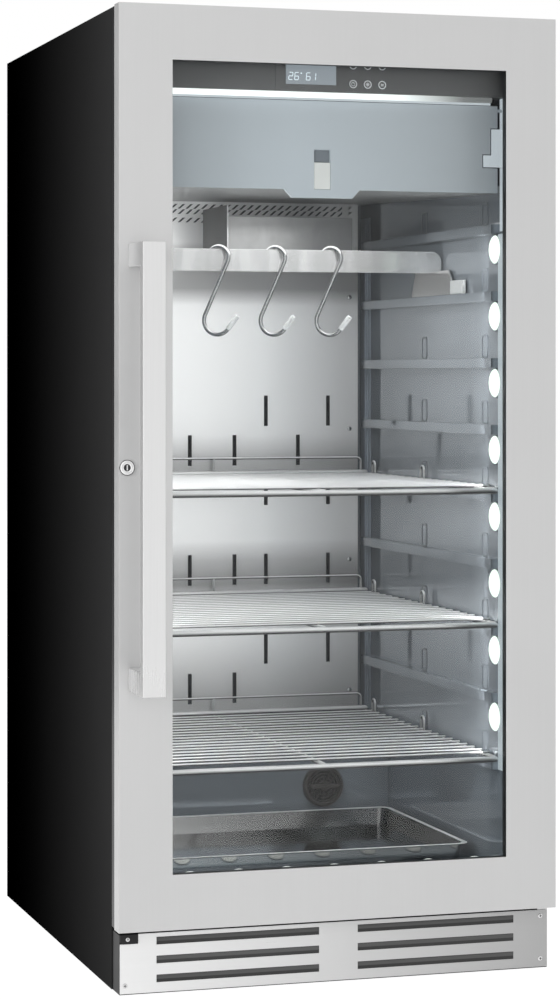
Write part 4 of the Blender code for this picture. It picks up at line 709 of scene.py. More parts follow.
def hook_line():
    """The hook's centre line as (out, up) points, from the top loop's centre; the last four are the tip."""
    lean = math.asin((hook_top_radius + hook_bottom_radius) / math.hypot(hook_shift, hook_drop))
    slope = math.degrees(lean + math.atan2(hook_shift, hook_drop))
    top = arc_points((0, 0), hook_top_radius, hook_start_degrees, -slope, 36)
    bottom = arc_points((-hook_shift, -hook_drop), hook_bottom_radius, 180 - slope, hook_end_degrees, 36)
    tangent = np.array([math.cos(tip_slope), math.sin(tip_slope)])
    return np.vstack([top, bottom, bottom[-1] + np.linspace(0.25, 1, 4)[:, None] * hook_tip * tangent])


def make_hook(index, body):
    """One hook and its sleeve, in the upright plane that it hangs in."""
    cosine, sine = math.cos(hook_turn), math.sin(hook_turn)
    centre = np.array([
        (index - 2) * hook_pitch, beam_y, beam_high[2] + hook_wire + hook_rest - hook_top_radius])
    line = hook_line()
    path = centre + line[:, :1] * np.array([sine, -cosine, 0]) + line[:, 1:] * np.array(upright)
    add_piece("hook_rod_" + str(index), [tube(path, hook_wire, (cosine, sine, 0), 20)], "hook_steel", body,
              "meat_hook_" + str(index))
    heading = unit(path[-1] - path[-2])
    wall = hook_wire + sleeve_wall
    reach = hook_tip + sleeve_overlap
    profile = [(hook_wire, 0), (wall - 0.3 * mm, 0), (wall, 0.5 * mm), (wall, reach - 2.4 * mm),
               (wall * 0.92, reach - 1.1 * mm), (wall * 0.66, reach - 0.25 * mm), (0, reach)]
    add_piece("hook_sleeve_" + str(index), [lathe(profile, path[-1] - heading * hook_tip, heading, 24)],
              "sleeve_white", body)


for index, side in enumerate(("left", "middle", "right"), 1):
    make_hook(index, "hook_" + side)


# %% [markdown]
# A shelf is a grid of welded round wires: thick bars front and rear, three bars along it, eighteen
# thin wires across, a raised rail at the back and four small loops. Each wire is a tube with round ends.

# %% The wire shelves
shelf_bar = 4 * mm
shelf_side_bar = 3 * mm
shelf_wire = 1.7 * mm
shelf_loop = 1.6 * mm
weld_share = 0.6
side_bar_inset = 4.2 * mm
cross_wires = 18
front_bar_drop = 2 * mm
rail_rise = 28 * mm
rail_inset = 11 * mm
rail_bend = 7 * mm
loop_width = 12 * mm
loop_height = 23 * mm
loop_shares = (0.525, 0.923)
sideways = (1, 0, 0)
backwards = (0, 1, 0)


def rod(start, end, radius, normal, sides):
    """A straight wire with round ends."""
    start, end = np.array(start), np.array(end)
    return tube([start, (start + end) / 2, end], radius, normal, sides)


def lay(outline, level, along="Z"):
    """A flat outline put at a level of one axis."""
    order = {"X": (2, 0, 1), "Y": (0, 2, 1), "Z": (0, 1, 2)}[along]
    return np.column_stack([outline, np.full(len(outline), level)])[:, order]


def make_shelf(number, body):
    """A shelf's wires, placed from the corners of its solid."""
    node = "shelf_" + str(number)
    low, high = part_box(node)
    reach = high[0]
    start, end = low[1] + shelf_bar, high[1] - shelf_bar
    z = low[2] + shelf_bar + front_bar_drop
    bar_x = reach - side_bar_inset
    rear_z = z + shelf_side_bar + shelf_bar * weld_share
    top = z + shelf_side_bar + shelf_wire * weld_share
    shapes = [rod((-reach, y, level), (reach, y, level), shelf_bar, upright, 18)
              for y, level in ((start, z - front_bar_drop), (end, rear_z))]
    shapes += [rod((x, start, z), (x, end, z), shelf_side_bar, upright, 16) for x in (-bar_x, 0, bar_x)]
    shapes += [rod((-reach, y, top), (reach, y, top), shelf_wire, upright, 12)
               for y in np.linspace(start, end, cross_wires + 2)[1:-1]]
    rail_half = reach - rail_inset
    bend = arc_points((rail_half - rail_bend, z + rail_rise - rail_bend), rail_bend, 0, 90, 8)
    side = np.vstack([(rail_half, z), bend])
    shapes.append(tube(lay(np.vstack([side, side[::-1] * (-1, 1)]), end, "Y"), shelf_wire, backwards, 12))
    shapes.append(rod((0, end, z), (0, end, z + rail_rise), shelf_wire, backwards, 12))
    half = loop_width / 2
    for share in loop_shares:
        middle = start + (end - start) * share
        bow = arc_points((middle, z + loop_height - half), half, 0, 180, 12)
        line = np.vstack([(middle + half, z), bow, (middle - half, z)])
        shapes += [tube(lay(line, x, "X"), shelf_loop, sideways, 10) for x in (-bar_x, bar_x)]
    add_piece("wire_" + node, shapes, "wire_steel", body, node)


for number, level in enumerate(("upper", "middle", "lower"), 1):
    make_shelf(number, level + "_shelf")


# %% [markdown]
# The lamps are flat frosted domes in a clipped-on strip. A dome is a profile turned round its axis: a
# shallow ellipse with a rolled rim, standing in a thin collar. The strip is a long rounded slab that
# glows as painted light, as if lit by its domes.

# %% The lamp strips
lamp_count = 8
lamp_pitch = 90 * mm
lamp_radius = 20.5 * mm
lamp_height = 8 * mm
lamp_top_drop = 20.2 * mm
sill_pitch = 67 * mm
sill_lamp_radius = 12.5 * mm
sill_lamp_height = 9 * mm
strip_thickness = 3 * mm
strip_width = 17.7 * mm
strip_round = 0.8 * mm
dome_inset = 1.4 * mm
collar_share = 0.38


def stack(outlines):
    """A skin through equal outlines of (x, y, z) points, both ends closed by a face."""
    count = len(outlines[0])
    points = np.concatenate(outlines)
    faces = grid_faces(len(outlines), count)
    faces.append(list(range(count)))
    faces.append(list(range(len(points) - count, len(points)))[::-1])
    return points, faces


def plate(outline, start, end, along="Y"):
    """A flat outline given thickness along one axis."""
    return stack([lay(outline, level, along) for level in (start, end)])


def slab(across, deep, up):
    """A box over a span of each axis, whose ends may come in either order."""
    (left, right), (front, back), (low, high) = sorted(across), sorted(deep), sorted(up)
    return plate([(left, front), (right, front), (right, back), (left, back)], low, high, "Z")


def dome_shape(centre, axis, radius, height):
    """A dome's profile: radius cos a, height sin a, down to a straight rim."""
    angles = np.radians(np.linspace(0, 90, 10))
    curve = np.column_stack([radius * np.cos(angles), height * (0.3 + 0.7 * np.sin(angles))])
    profile = np.vstack([(radius, 0), curve])
    profile[-1, 0] = 0
    return lathe(profile, centre, axis, 40)


def collar_shape(centre, axis, radius, height):
    """A thin round collar round a dome's foot."""
    inner, outer, shoulder = radius - 0.5 * mm, radius + 1.2 * mm, height * 0.8
    profile = [(inner, 0), (outer, 0), (outer, shoulder), (outer - 0.4 * mm, height),
               (radius + 0.1 * mm, height), (inner, shoulder), (inner, 0)]
    return lathe(profile, centre, axis, 40)


def make_lamp_strip(node, centres, axis, radius, height, base, glow):
    """A strip's slab, glowing as painted light, and its domes, with a collar round each."""
    add_piece(node + "_base", [base], "strip_painted_light", "cabinet", node, strip_round)
    domes = [dome_shape(centre, axis, radius - dome_inset, height) for centre in centres]
    add_piece(node + "_domes", domes, glow, "cabinet")
    collars = [collar_shape(centre, axis, radius - dome_inset, height * collar_share) for centre in centres]
    add_piece(node + "_collars", collars, "liner_blue", "cabinet")


for side, hand in ((-1, "left"), (1, "right")):
    low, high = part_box("lamp_strip_" + hand)
    wall = low[0] if side < 0 else high[0]
    centres = [(wall, high[1] - lamp_radius, high[2] - lamp_top_drop - lamp_pitch * index)
               for index in range(lamp_count)]
    base = slab((wall, wall - side * strip_thickness), (low[1], low[1] + strip_width), (low[2], high[2]))
    make_lamp_strip("lamp_strip_" + hand, centres, (-side, 0, 0), lamp_radius, lamp_height, base, "lamp_glow")
low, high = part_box("lamp_strip_sill")
centres = [((index - (lamp_count - 1) / 2) * sill_pitch, (low[1] + high[1]) / 2, low[2] + strip_thickness / 2)
           for index in range(lamp_count)]
base = slab((low[0], high[0]), (low[1], high[1]), (low[2], low[2] + strip_thickness))
make_lamp_strip("lamp_strip_sill", centres, upright, sill_lamp_radius, sill_lamp_height, base, "sill_glow")


# %% [markdown]
# The drip tray is pressed from one sheet: a flat rim, sloping walls with round corners and a flat
# bottom. Round rectangles at rising heights, each drawn in by its own inset, give its skin. A thin pale
# band on the rim is a painted highlight along it.

# %% The drip tray
tray_corner = 16 * mm
tray_least_corner = 4 * mm
corner_share = 0.4
tray_rim = 7 * mm
tray_wall = 13 * mm
tray_sheet = 1.2 * mm
tray_bend = 1.15
rim_highlight_inset = 0.7 * mm
rim_highlight_rise = 0.15 * mm


def band(rings):
    """A closed skin through equal rings of points, the last one joined to the first."""
    return np.concatenate(rings), grid_faces(len(rings), len(rings[0]), True)


def round_outline(half_x, half_y, corner, steps=6):
    """A rectangle with round corners as (x, y) points, corner by corner."""
    corners = ((1, 1, 0), (-1, 1, 90), (-1, -1, 180), (1, -1, 270))
    return np.concatenate([
        arc_points((x * (half_x - corner), y * (half_y - corner)), corner, turn, turn + 90, steps + 1)
        for x, y, turn in corners])


def make_tray():
    """Outlines of (inset, height): under the bottom, up outside, over the rim, and down inside."""
    low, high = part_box("drip_tray")
    middle = middle_of("drip_tray")
    half = (np.array(high) - low) / 2
    base, rim = low[2], high[2]
    under = rim - tray_sheet
    outside = [(tray_wall + (tray_rim - tray_wall) * share, base + (under - base) * share ** tray_bend)
               for share in (0, 0.15, 0.5, 1)]
    turn = [(0.6 * mm, under), (0, rim - tray_sheet * 0.6), (0, rim - tray_sheet * 0.3), (0.5 * mm, rim)]
    inside = [(inset + tray_sheet, z + tray_sheet) for inset, z in outside[::-1]]
    inside[0] = (tray_rim + tray_sheet, rim)
    skin = [(tray_wall + 3 * mm, base)] + outside + turn + inside + [(tray_wall + 4 * mm, base + tray_sheet)]
    # A pale band on the rim, a painted highlight.
    above = rim + rim_highlight_rise
    edge = [(rim_highlight_inset, rim), (rim_highlight_inset, above), (tray_rim, above), (tray_rim, rim)]
    skin, edge = ([lay(round_outline(
        half[0] - inset, half[1] - inset, max(tray_corner - inset * corner_share, tray_least_corner))
        + middle[:2], z) for inset, z in rows] for rows in (skin, edge))
    add_piece("pressed_tray", [stack(skin)], "tray_steel", "tray", "drip_tray")
    add_piece("tray_rim_highlight", [band(edge)], "rim_highlight", "tray")


make_tray()


# %% [markdown]
# The door's gasket is a soft magnetic strip: a neck pushed into the door, folds that give as the door
# shuts, and a flat lip with the magnet inside. Its section is carried round the door with mitred corners.

# %% The gasket
gasket_width = 16 * mm
gasket_crease = 50
gasket_shares = np.array([
    (0.40, 0.0), (0.60, 0.0), (0.60, 0.16), (0.82, 0.24), (0.90, 0.34), (0.80, 0.44), (0.70, 0.50),
    (0.86, 0.58), (0.98, 0.66), (1.0, 0.78), (0.99, 0.93), (0.93, 1.0), (0.62, 1.0), (0.55, 0.97),
    (0.48, 1.0), (0.07, 1.0), (0.01, 0.93), (0.0, 0.78), (0.03, 0.66), (0.14, 0.58), (0.30, 0.50),
    (0.20, 0.44), (0.10, 0.34), (0.18, 0.24), (0.40, 0.16)])


def frame_sweep(profile, low, high):
    """A closed profile of (inset, depth) carried round an upright rectangle, with mitred corners."""
    inset, depth = profile[:, 0], profile[:, 1]
    corners = ((low[0], low[2], 1, 1), (high[0], low[2], -1, 1), (high[0], high[2], -1, -1),
               (low[0], high[2], 1, -1))
    return band([np.stack([x + across * inset, depth, z + up * inset], axis=-1)
                 for x, z, across, up in corners])


def make_gasket():
    """The section as (inset, depth) from the gasket's outer edge and the door's back."""
    low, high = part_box("door_gasket")
    profile = gasket_shares * (gasket_width, high[1] - low[1]) + (0, low[1])
    add_piece("door_seal", [frame_sweep(profile, low, high)], "rubber_black", "door",
              "door_gasket", crease=gasket_crease)


make_gasket()


# %% [markdown]
# Round the flap there are small plain parts of sheet, each a thin plate laid on its solid. A dark plate
# on the floor of the latch's recess is painted shade. Glowing plates on the faces of the catches, a trim
# on both walls and the lip that closes the gap under the light bar are painted light, so that they look
# lit. Spans are pairs of places measured from an edge.

# %% Plates round the flap
recess_y = np.array((0.15, 0.35)) * mm
recess_side = 0.2 * mm
recess_rise = 16.5 * mm
catch_root = 249.8 * mm
catch_tip = 11.5 * mm
catch_rise = 33.9 * mm
catch_step = 16 * mm
catch_height = 51 * mm
catch_y = np.array((-0.1, 0.3)) * mm
trim_x = np.array((249.3, 249.9)) * mm
trim_y = np.array((-256.4, -238)) * mm
trim_low = 983 * mm
lip_y = np.array((6, -0.5)) * mm
lip_z = np.array((0.4, -0.1)) * mm


def make_flap_plates():
    """Thin plates, placed from the boxes of the flap, its latch, the light bar and the liners."""
    flap_low, flap_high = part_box("evaporator_flap")
    latch_low, latch_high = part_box("flap_latch")
    bar_low, bar_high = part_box("light_bar")
    # The recess's floor is a dark plate of painted shade.
    recess = slab((latch_low[0] + recess_side, latch_high[0] - recess_side), latch_high[1] + recess_y,
                  (latch_low[2], latch_high[2] + recess_rise))
    add_piece("latch_recess", [recess], "recess_shade", "flap")
    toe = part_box("side_liner_right")[0][0]
    tip = toe + catch_tip
    low = latch_low[2] + catch_rise
    step, top = low + catch_step, low + catch_height
    outline = np.array([
        (catch_root, low), (toe, low), (toe, step), (tip, step), (tip, top), (catch_root, top)])
    shapes = [plate(outline * (side, 1), *(flap_low[1] + catch_y)) for side in (-1, 1)]
    shapes += [slab(side * trim_x, trim_y, (trim_low, bar_high[2])) for side in (-1, 1)]
    # The catches' faces and the trims glow as painted light.
    add_piece("catch_faces", shapes, "trim_painted_light", "cabinet")
    # The lip glows as painted light.
    lip = slab((bar_low[0], bar_high[0]), np.array((bar_low[1], bar_high[1])) + lip_y,
               np.array((flap_high[2], bar_low[2])) + lip_z)
    add_piece("bar_lip", [lip], "trim_painted_light", "cabinet")


make_flap_plates()


# %% [markdown]
# The fan blows out through the left side of its box, behind a guard of fine mesh that stands higher
# than the box. Behind each slot of the plinth stand a folded lip and a fin that keep fingers out; both
# are dark plates, a painted shade for the inside of the slot. The inner pane has a black printed border
# that hides the glue.

# %% The fan's guard, the plinth's lips and the pane's border
guard_x = np.array((-1.1, -0.2)) * mm
guard_edge_x = np.array((-1.2, 0.6)) * mm
guard_edge_y = np.array((-1.2, -0.2)) * mm
guard_rise = 16 * mm
slot_x = np.array((26.4, 244)) * mm
slot_first = 12.6 * mm
slot_last_drop = 14.9 * mm
slot_lip_y = np.array((0.5, 0.9)) * mm
slot_lip_z = np.array((4.2, 9.1)) * mm
slot_fin_y = np.array((0.9, 1.2)) * mm
slot_fin_z = np.array((0, 4.2)) * mm
border_inset = 5.5 * mm
border_side = 4.3 * mm
border_sill = 4 * mm
border_head = 8 * mm
border_y = np.array((0.02, 0.14)) * mm


def make_guards():
    """A mesh plate with its edge, a dark lip and fin to a slot as painted shade, and four black bars."""
    low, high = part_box("fan_duct_cover")
    up = (low[2], high[2] + guard_rise)
    guard = slab(low[0] + guard_x, (low[1], high[1]), up)
    add_piece("fan_guard", [guard], "mesh_steel", "cabinet")
    edge = slab(low[0] + guard_edge_x, low[1] + guard_edge_y, up)
    add_piece("guard_edge", [edge], "edge_steel", "cabinet")
    low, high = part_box("plinth_panel")
    slots = [(side * slot_x, z) for z in np.linspace(low[2] + slot_first, high[2] - slot_last_drop, 3)
             for side in (-1, 1)]
    # The lips and fins are dark plates, a painted shade inside the slots.
    for name, look, deep, up in (("slot_lips", "slot_lip_shade", slot_lip_y, slot_lip_z),
                                 ("slot_fins", "slot_fin_shade", slot_fin_y, slot_fin_z)):
        add_piece(name, [slab(across, low[1] + deep, z + up) for across, z in slots], look, "cabinet")
    low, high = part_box("inner_glass")
    left, right = low[0] + border_inset, high[0] - border_inset
    bottom, top = low[2] + border_inset, high[2] - border_inset
    between = (left + border_side, right - border_side)
    spans = (((left, between[0]), (bottom, top)), ((between[1], right), (bottom, top)),
             (between, (bottom, bottom + border_sill)), (between, (top - border_head, top)))
    border = [slab(across, high[1] + border_y, up) for across, up in spans]
    add_piece("pane_border", border, "border_black", "door")


make_guards()


# %% [markdown]
# Each foot of the hanging beam ends in a low tongue towards the door. A white sleeve is pushed over it,
# so that the steel does not scratch the liner.

# %% The beam's end caps
sleeve_size = np.array((5.5, 47, 19)) * mm
sleeve_start = np.array((0.5, -0.8, 0.2)) * mm
sleeve_round = 0.8 * mm


def make_beam_caps():
    """A rounded block round the tongue of each foot."""
    for side, name in ((-1, "left"), (1, "right")):
        outer = side * (beam_high[0] + sleeve_start[0])
        y, z = beam_low[1] + sleeve_start[1], beam_low[2] + sleeve_start[2]
        cap = slab((outer, outer - side * sleeve_size[0]), (y, y + sleeve_size[1]), (z, z + sleeve_size[2]))
        add_piece("beam_cap_" + name, [cap], "sleeve_white", "cabinet", radius=sleeve_round)


make_beam_caps()


# %% [markdown]
# Small screws hold the sheets. A screw's head is a low turned dome, and its cross recess is a dark
# star laid on its top, a painted shade which reads as depth at this size.

# %% Screws
head_share = 0.45
head_shares = np.array([(0.98, 0), (1, 0.25), (0.9, 0.62), (0.62, 0.9), (0.3, 1), (0, 1)]) * (1, head_share)
arm_length_share = 0.55
arm_width_share = 0.13
cross_depth = 0.3 * mm
cross_rise = 0.05 * mm


def cross_shapes(place, axis, radius):
    """A cross of two thin bars on top of a head, for the recess's painted shade."""
    u, v = across_axis(axis)
    top = np.asarray(place) + axis * radius * head_share
    bars = []
    for first, second in ((u, v), (v, u)):
        long, thin = first * radius * arm_length_share, second * radius * arm_width_share
        corners = np.array([-long - thin, long - thin, long + thin, -long + thin]) + top
        bars.append(stack([corners - axis * cross_depth, corners + axis * cross_rise]))
    return bars


def add_screws(name, places, radius):
    """One piece for the heads, turned to the front, and one of dark crosses, painted shade for their
    recesses.
    """
    axis = np.array(forwards, dtype=float)
    heads = [lathe(head_shares * radius, place, axis, 20) for place in places]
    add_piece(name, heads, "screw_steel", "cabinet")
    crosses = [bar for place in places for bar in cross_shapes(place, axis, radius)]
    add_piece(name + "_recess", crosses, "fan_black", "cabinet")


low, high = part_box("plinth_panel")
add_screws("plinth_screws", [(low[0] + x * mm, low[1], high[2] - z * mm) for x, z in (
    (6.4, 65.0), (574.0, 8.0), (574.0, 64.5))], 3.3 * mm)
low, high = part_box("steel_back_panel")
add_screws("panel_screws", [(side * 218 * mm, low[1], z * mm) for side in (-1, 1) for z in (
    909, 708, 508.5, 309)], 3.6 * mm)
x, y, z = middle_of("spare_hinge_cap")
add_screws("cap_screw", [(x - 2 * mm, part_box("spare_hinge_cap")[0][1], z)], 2.8 * mm)
for hinge in ("lower_hinge", "upper_hinge"):
    low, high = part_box(hinge + "_bracket")
    x, y = middle_of(hinge + "_bracket")[0], high[1] - 3 * mm
    add_screws(hinge + "_screws", [(x, y, low[2] + rise * mm) for rise in (8, 26)], 3 * mm)


# %% [markdown]
# The display shows a temperature in seven-bar digits, each bar a six-sided plate. The window stays a
# plain pane behind them, and the digits lie a hair in front of it.

# %% The display's digits
lit_bars = {"1": "bc", "2": "abged", "6": "afgedc"}
bar_ends = {"a": ((0, 1), (1, 1)), "b": ((1, 1), (1, 0.5)), "c": ((1, 0.5), (1, 0)), "d": ((0, 0), (1, 0)),
            "e": ((0, 0), (0, 0.5)), "f": ((0, 0.5), (0, 1)), "g": ((0, 0.5), (1, 0.5))}
digit_places = (("2", 3.5 * mm), ("6", 11.5 * mm), ("6", 27.5 * mm), ("1", 35.0 * mm))
digit_height = 9.5 * mm
digit_width = 5.2 * mm
digit_stroke = 1.1 * mm
digit_lean = 0.08
digit_rise = 5.5 * mm
digit_gap = 0.1 * mm
digit_sheet = 0.15 * mm
degree_place = 20.8 * mm
degree_drop = 0.8 * mm
degree_radius = 1.2 * mm


def bar_outline(start, end):
    """A bar between two points, pointed at both ends."""
    along = unit(end - start) * digit_stroke / 2
    across = np.array([-along[1], along[0]])
    return [start, start + along + across, end - along + across,
            end, end - along - across, start + along - across]


def make_display():
    """Two digits, a degree ring and two digits more, for the humidity."""
    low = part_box("display_window")[0]
    z = low[2] + digit_rise
    grid = np.array([(digit_width, 0), (digit_height * digit_lean, digit_height)])
    outlines = [bar_outline(*(np.array(bar_ends[name]) @ grid + (low[0] + place, z)))
                for digit, place in digit_places for name in lit_bars[digit]]
    cosine, sine = ring_points(12)
    outlines.append(np.column_stack([cosine, sine]) * degree_radius + (
        low[0] + degree_place, z + digit_height - degree_drop))
    front = low[1] - digit_gap
    add_piece("display_digits", [plate(outline, front - digit_sheet, front) for outline in outlines],
              "digit_glow", "cabinet")


make_display()


# %% [markdown]
# Each key is a round cap with a raised rim, and a small sign on it: rings, bars and arrows cut from
# plate. They ride on the keys, so they move in with them.

# %% The keys' rims and signs
sign_sheet = 0.12 * mm
rim_outer = 5.5 * mm
rim_inner = 4.1 * mm
rim_height = 0.3 * mm


def ring_plate(centre, outer, inner, y, thickness, count=28):
    """A flat ring in the X-Z plane, as a turned rectangle."""
    profile = [(inner, 0), (outer, 0), (outer, thickness), (inner, thickness), (inner, 0)]
    return lathe(profile, (centre[0], y, centre[1]), forwards, count)


def bar_plate(centre, half_x, half_z, y, thickness, turn_degrees=0):
    """A small upright bar plate, turned in its own plane."""
    c, s = math.cos(math.radians(turn_degrees)), math.sin(math.radians(turn_degrees))
    corners = np.array([(-half_x, -half_z), (half_x, -half_z), (half_x, half_z), (-half_x, half_z)])
    return plate(corners @ np.array([[c, s], [-s, c]]) + centre, y - thickness, y)


stroke = 0.42
# in mm: rings of (rise, outer, inner, layer), bars of (shift, rise, half width, half height, turn, layer)
signs = {
    "power": ([(0, 2.8, 1.9, 0)], [(0, 1.6, stroke, 1.2, 0, 1)]),
    "light": ([(0, 1.3, 0.7, 1)], [(0, 0, 3.0, stroke, turn, 0) for turn in (0, 45, 90, 135)]),
    "set": ([], [(0, rise, 2.08, stroke, 0, 0) for rise in (-1.2, 0, 1.2)]),
    "up": ([], [(-1, 0, 1.6, stroke, 45, 0), (1, 0, 1.6, stroke, -45, 0)]),
    "down": ([], [(-1, 0, 1.6, stroke, -45, 0), (1, 0, 1.6, stroke, 45, 0)]),
    "humidity": ([(-0.5, 1.6, 1.1, 0)], [(0, 1.6, stroke, 0.9, 0, 0)]),
}
for kind in key_kinds:
    key, front = "key_" + kind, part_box("key_" + kind)[0][1]
    centre = middle_of(key)[[0, 2]]
    rings, bars = signs[kind]
    faces = (front, front - sign_sheet)
    shapes = [
        bar_plate(centre + (shift * mm, rise * mm), wide * mm, high * mm, faces[layer], sign_sheet, turn)
        for shift, rise, wide, high, turn, layer in bars]
    shapes += [ring_plate(centre + (0, rise * mm), outer * mm, inner * mm, faces[layer], sign_sheet)
               for rise, outer, inner, layer in rings]
    rim = ring_plate(centre, rim_outer, rim_inner, front, rim_height)
    add_piece("key_rim_" + kind, [rim], "sign_white", key)
    add_piece("key_sign_" + kind, shapes, "sign_white", key)


# %% [markdown]
# The filter's cap is a moulded disc: a rim, a ring of slots for the air and a bar to turn it by. Its
# solid has the plain shape, so the grille's ribs are laid into a dished face in front of the charcoal.

# %% The filter cap
grip_height = 4 * mm
grip_half_width = 2.4 * mm
grip_reach_share = 0.62
cap_depth = 9 * mm
cap_neck_radius = 22 * mm
cap_neck_length = 30 * mm
cap_round = 0.25 * mm
ring_width = 1.3 * mm
ring_shares = (0.40, 0.56, 0.71)
spoke_half_width = 0.75 * mm
spoke_share = 0.82
floor_share = 0.3


def make_filter_cap():
    """A turned dish, rings and spokes across it, and a grip with round ends."""
    low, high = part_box("filter_cap")
    back = low[1] + grip_height + cap_depth
    flat = middle_of("filter_cap")[[0, 2]]
    centre = (flat[0], back, flat[1])
    radius = (high[0] - low[0]) / 2
    size = (radius, cap_depth)
    floor = cap_depth * floor_share
    rim = np.array([
        (0, 0.35), (0.80, 0.35), (0.82, 0.9), (0.86, 1), (0.93, 1), (0.985, 0.82), (1, 0.6), (1, 0)]) * size
    neck = [(cap_neck_radius, 0), (cap_neck_radius, -cap_neck_length), (0, -cap_neck_length)]
    hub = np.array([(0, 0.3), (0.24, 0.3), (0.24, 0.95), (0.2, 1), (0, 1)]) * size
    shapes = [lathe(np.vstack([rim, neck]), centre, forwards, 56), lathe(hub, centre, forwards, 32)]
    for inner in np.array(ring_shares) * radius:
        outer, top = inner + ring_width, cap_depth * 0.84
        ring = [(inner, floor), (outer, floor), (outer, top), (inner, top), (inner, floor)]
        shapes.append(lathe(ring, centre, forwards, 48))
    shapes += [bar_plate(flat, radius * spoke_share, spoke_half_width, back - floor, cap_depth / 2, turn)
               for turn in range(0, 180, 30)]
    end = arc_points((radius * grip_reach_share, 0), grip_half_width, -90, 90, 9)
    shapes.append(plate(np.vstack([end, end * (-1, -1)]) + flat, low[1], back - floor))
    add_piece("charcoal_cap", shapes, "cap_grey", "filter", "filter_cap", cap_round)
    dark = np.array([(0, 0.36), (0.79, 0.36), (0.79, 0.38), (0, 0.38)]) * size
    add_piece("charcoal_face", [lathe(dark, centre, forwards, 40)], "fan_black", "filter")


make_filter_cap()


# %% [markdown]
# The liner's long walls carry small moulded marks between the ledges: raised round-cornered frames
# that stiffen the thin wall. They stand a fraction of a millimetre proud, and are darker than the wall
# as a painted shade.

# %% Marks on the side walls
wall_x = 250 * mm
mark_places = [(y * mm, (1009 - 90 * index) * mm) for y in (-184, 52) for index in range(9)]
mark_outer = (11 * mm, 16 * mm, 4 * mm)
mark_inner = (8.2 * mm, 13.6 * mm, 2 * mm)
mark_root = -0.3 * mm
mark_rise = 0.45 * mm


def make_wall_marks():
    """Two columns of small raised frames on both side walls, one between each pair of ledges."""
    edges = [(mark_outer, mark_root), (mark_outer, mark_rise),
             (mark_inner, mark_rise), (mark_inner, mark_root)]
    shapes = [band([lay(round_outline(*size, 4) + place, side * (wall_x - rise), "X")
                    for size, rise in edges]) for side in (-1, 1) for place in mark_places]
    add_piece("wall_marks", shapes, "mark_shade", "cabinet")


make_wall_marks()


# %% [markdown]
# The liner's rear corners are stepped, so that the sheet of the back panel can slide in: a flat band
# with two narrow ribs, standing just proud of the wall.

# %% The stepped rear corners
band_y = np.array((286, 331)) * mm
band_rise = 0.4 * mm
rib_spans = (np.array((300, 302.5)) * mm, np.array((309, 311.5)) * mm)
rib_rise = 1.4 * mm
corner_trim = np.array((20, -20)) * mm


def make_rear_corners():
    """A flat band and two ribs on both walls, behind the ledges."""
    low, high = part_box("steel_back_panel")
    up = np.array((low[2], high[2])) + corner_trim
    for name, spans, rise in (("corner_bands", [band_y], band_rise), ("corner_ribs", rib_spans, rib_rise)):
        shapes = [slab((side * wall_x, side * (wall_x - rise)), deep, up)
                  for side in (-1, 1) for deep in spans]
        add_piece(name, shapes, "corner_blue", "cabinet")


make_rear_corners()


# %% [markdown]
# The lock shows a bright rolled ring round a dark core with a bright keyway, and a black ring round
# the bright one is a painted shadow at its edge. The turning solid is right as it is, so ring, shadow
# ring, core and keyway are laid on its face and turn with it. In the case, a dark plate closes the slot
# that the lock's cam reaches into.

# %% The lock's face
roll_radius = 6.8 * mm
roll_half_size = (2.4 * mm, 1.1 * mm)
shade_outer = 9.9 * mm
shade_inner = 9.1 * mm
shade_height = 0.2 * mm
core_height = 0.35 * mm
core_profile = np.array([(0, 0.35), (4.4, 0.35), (5, 0.1), (5, -0.2), (0, -0.2)]) * mm
keyway_half_size = (0.9 * mm, 3.2 * mm)
keeper_x = np.array((4.7, 5)) * mm
keeper_y = np.array((-0.2, -0.08)) * mm
keeper_rise = 3 * mm


def make_lock_face():
    """A polished ring, a black ring round it as a painted shadow, a dark dished core, a keyway plate
    and the keeper's floor.
    """
    low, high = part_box("lock_cylinder")
    centre = (middle_of("lock_cylinder")[0], middle_of("door_handle")[2])
    face = (centre[0], low[1], centre[1])
    roll = np.column_stack(ring_points(16)) * roll_half_size + (roll_radius, 0)
    add_piece("lock_ring", [lathe(np.vstack([roll, roll[:1]]), face, forwards, 48)], "lock_steel", "lock")
    shade = ring_plate(centre, shade_outer, shade_inner, low[1], shade_height, 48)
    add_piece("lock_shade", [shade], "fan_black", "lock")
    add_piece("lock_core", [lathe(core_profile, face, forwards, 36)], "fan_black", "lock")
    keyway = bar_plate(centre, *keyway_half_size, low[1] - core_height, sign_sheet)
    add_piece("lock_keyway", [keyway], "lock_steel", "lock")
    keeper = slab(np.array((low[0], high[0])) + keeper_x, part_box("foam_insulation")[0][1] + keeper_y,
                  (low[2] + keeper_rise, high[2] + keeper_rise))
    add_piece("keeper_floor", [keeper], "rubber_black", "cabinet")


make_lock_face()


# %% [markdown]
# The studio's walls are an even white. Light paths tell rays apart, so the surround is full white where
# it is seen or mirrored and dimmer as a lamp, and the chamber keeps its own shadows.

# %% The surround
world_strength = 0.62


def make_world():
    """White to the eye, in mirrors and through glass; an even dimmer white as light."""
    world = bpy.context.scene.world = bpy.data.worlds.new("surround")
    world.use_nodes = True
    tree = world.node_tree
    ground = tree.nodes["Background"]
    feed(tree, ground, {"Color": grey(1.0), "Strength": world_strength})
    seen = add_node(tree, "Background", {"Color": grey(1.0), "Strength": 1.0})[0]
    path = add_node(tree, "LightPath")
    either = path["Is Camera Ray"]
    for label in ("Is Glossy Ray", "Is Transmission Ray"):
        either = maths(tree, "MAXIMUM", either, path[label])
    show_blend(tree, either, ground.outputs[0], seen, "World Output")


make_world()
print("surround of strength", world_strength)


# %% [markdown]
# The floor is a pale sheet, as under a cut-out picture: white round the case, with a soft shadow where
# the case stands.

# %% The floor
floor_tone = 0.88
floor_strength = 1.12
floor_share_seen = 0.9
floor_reach = 12


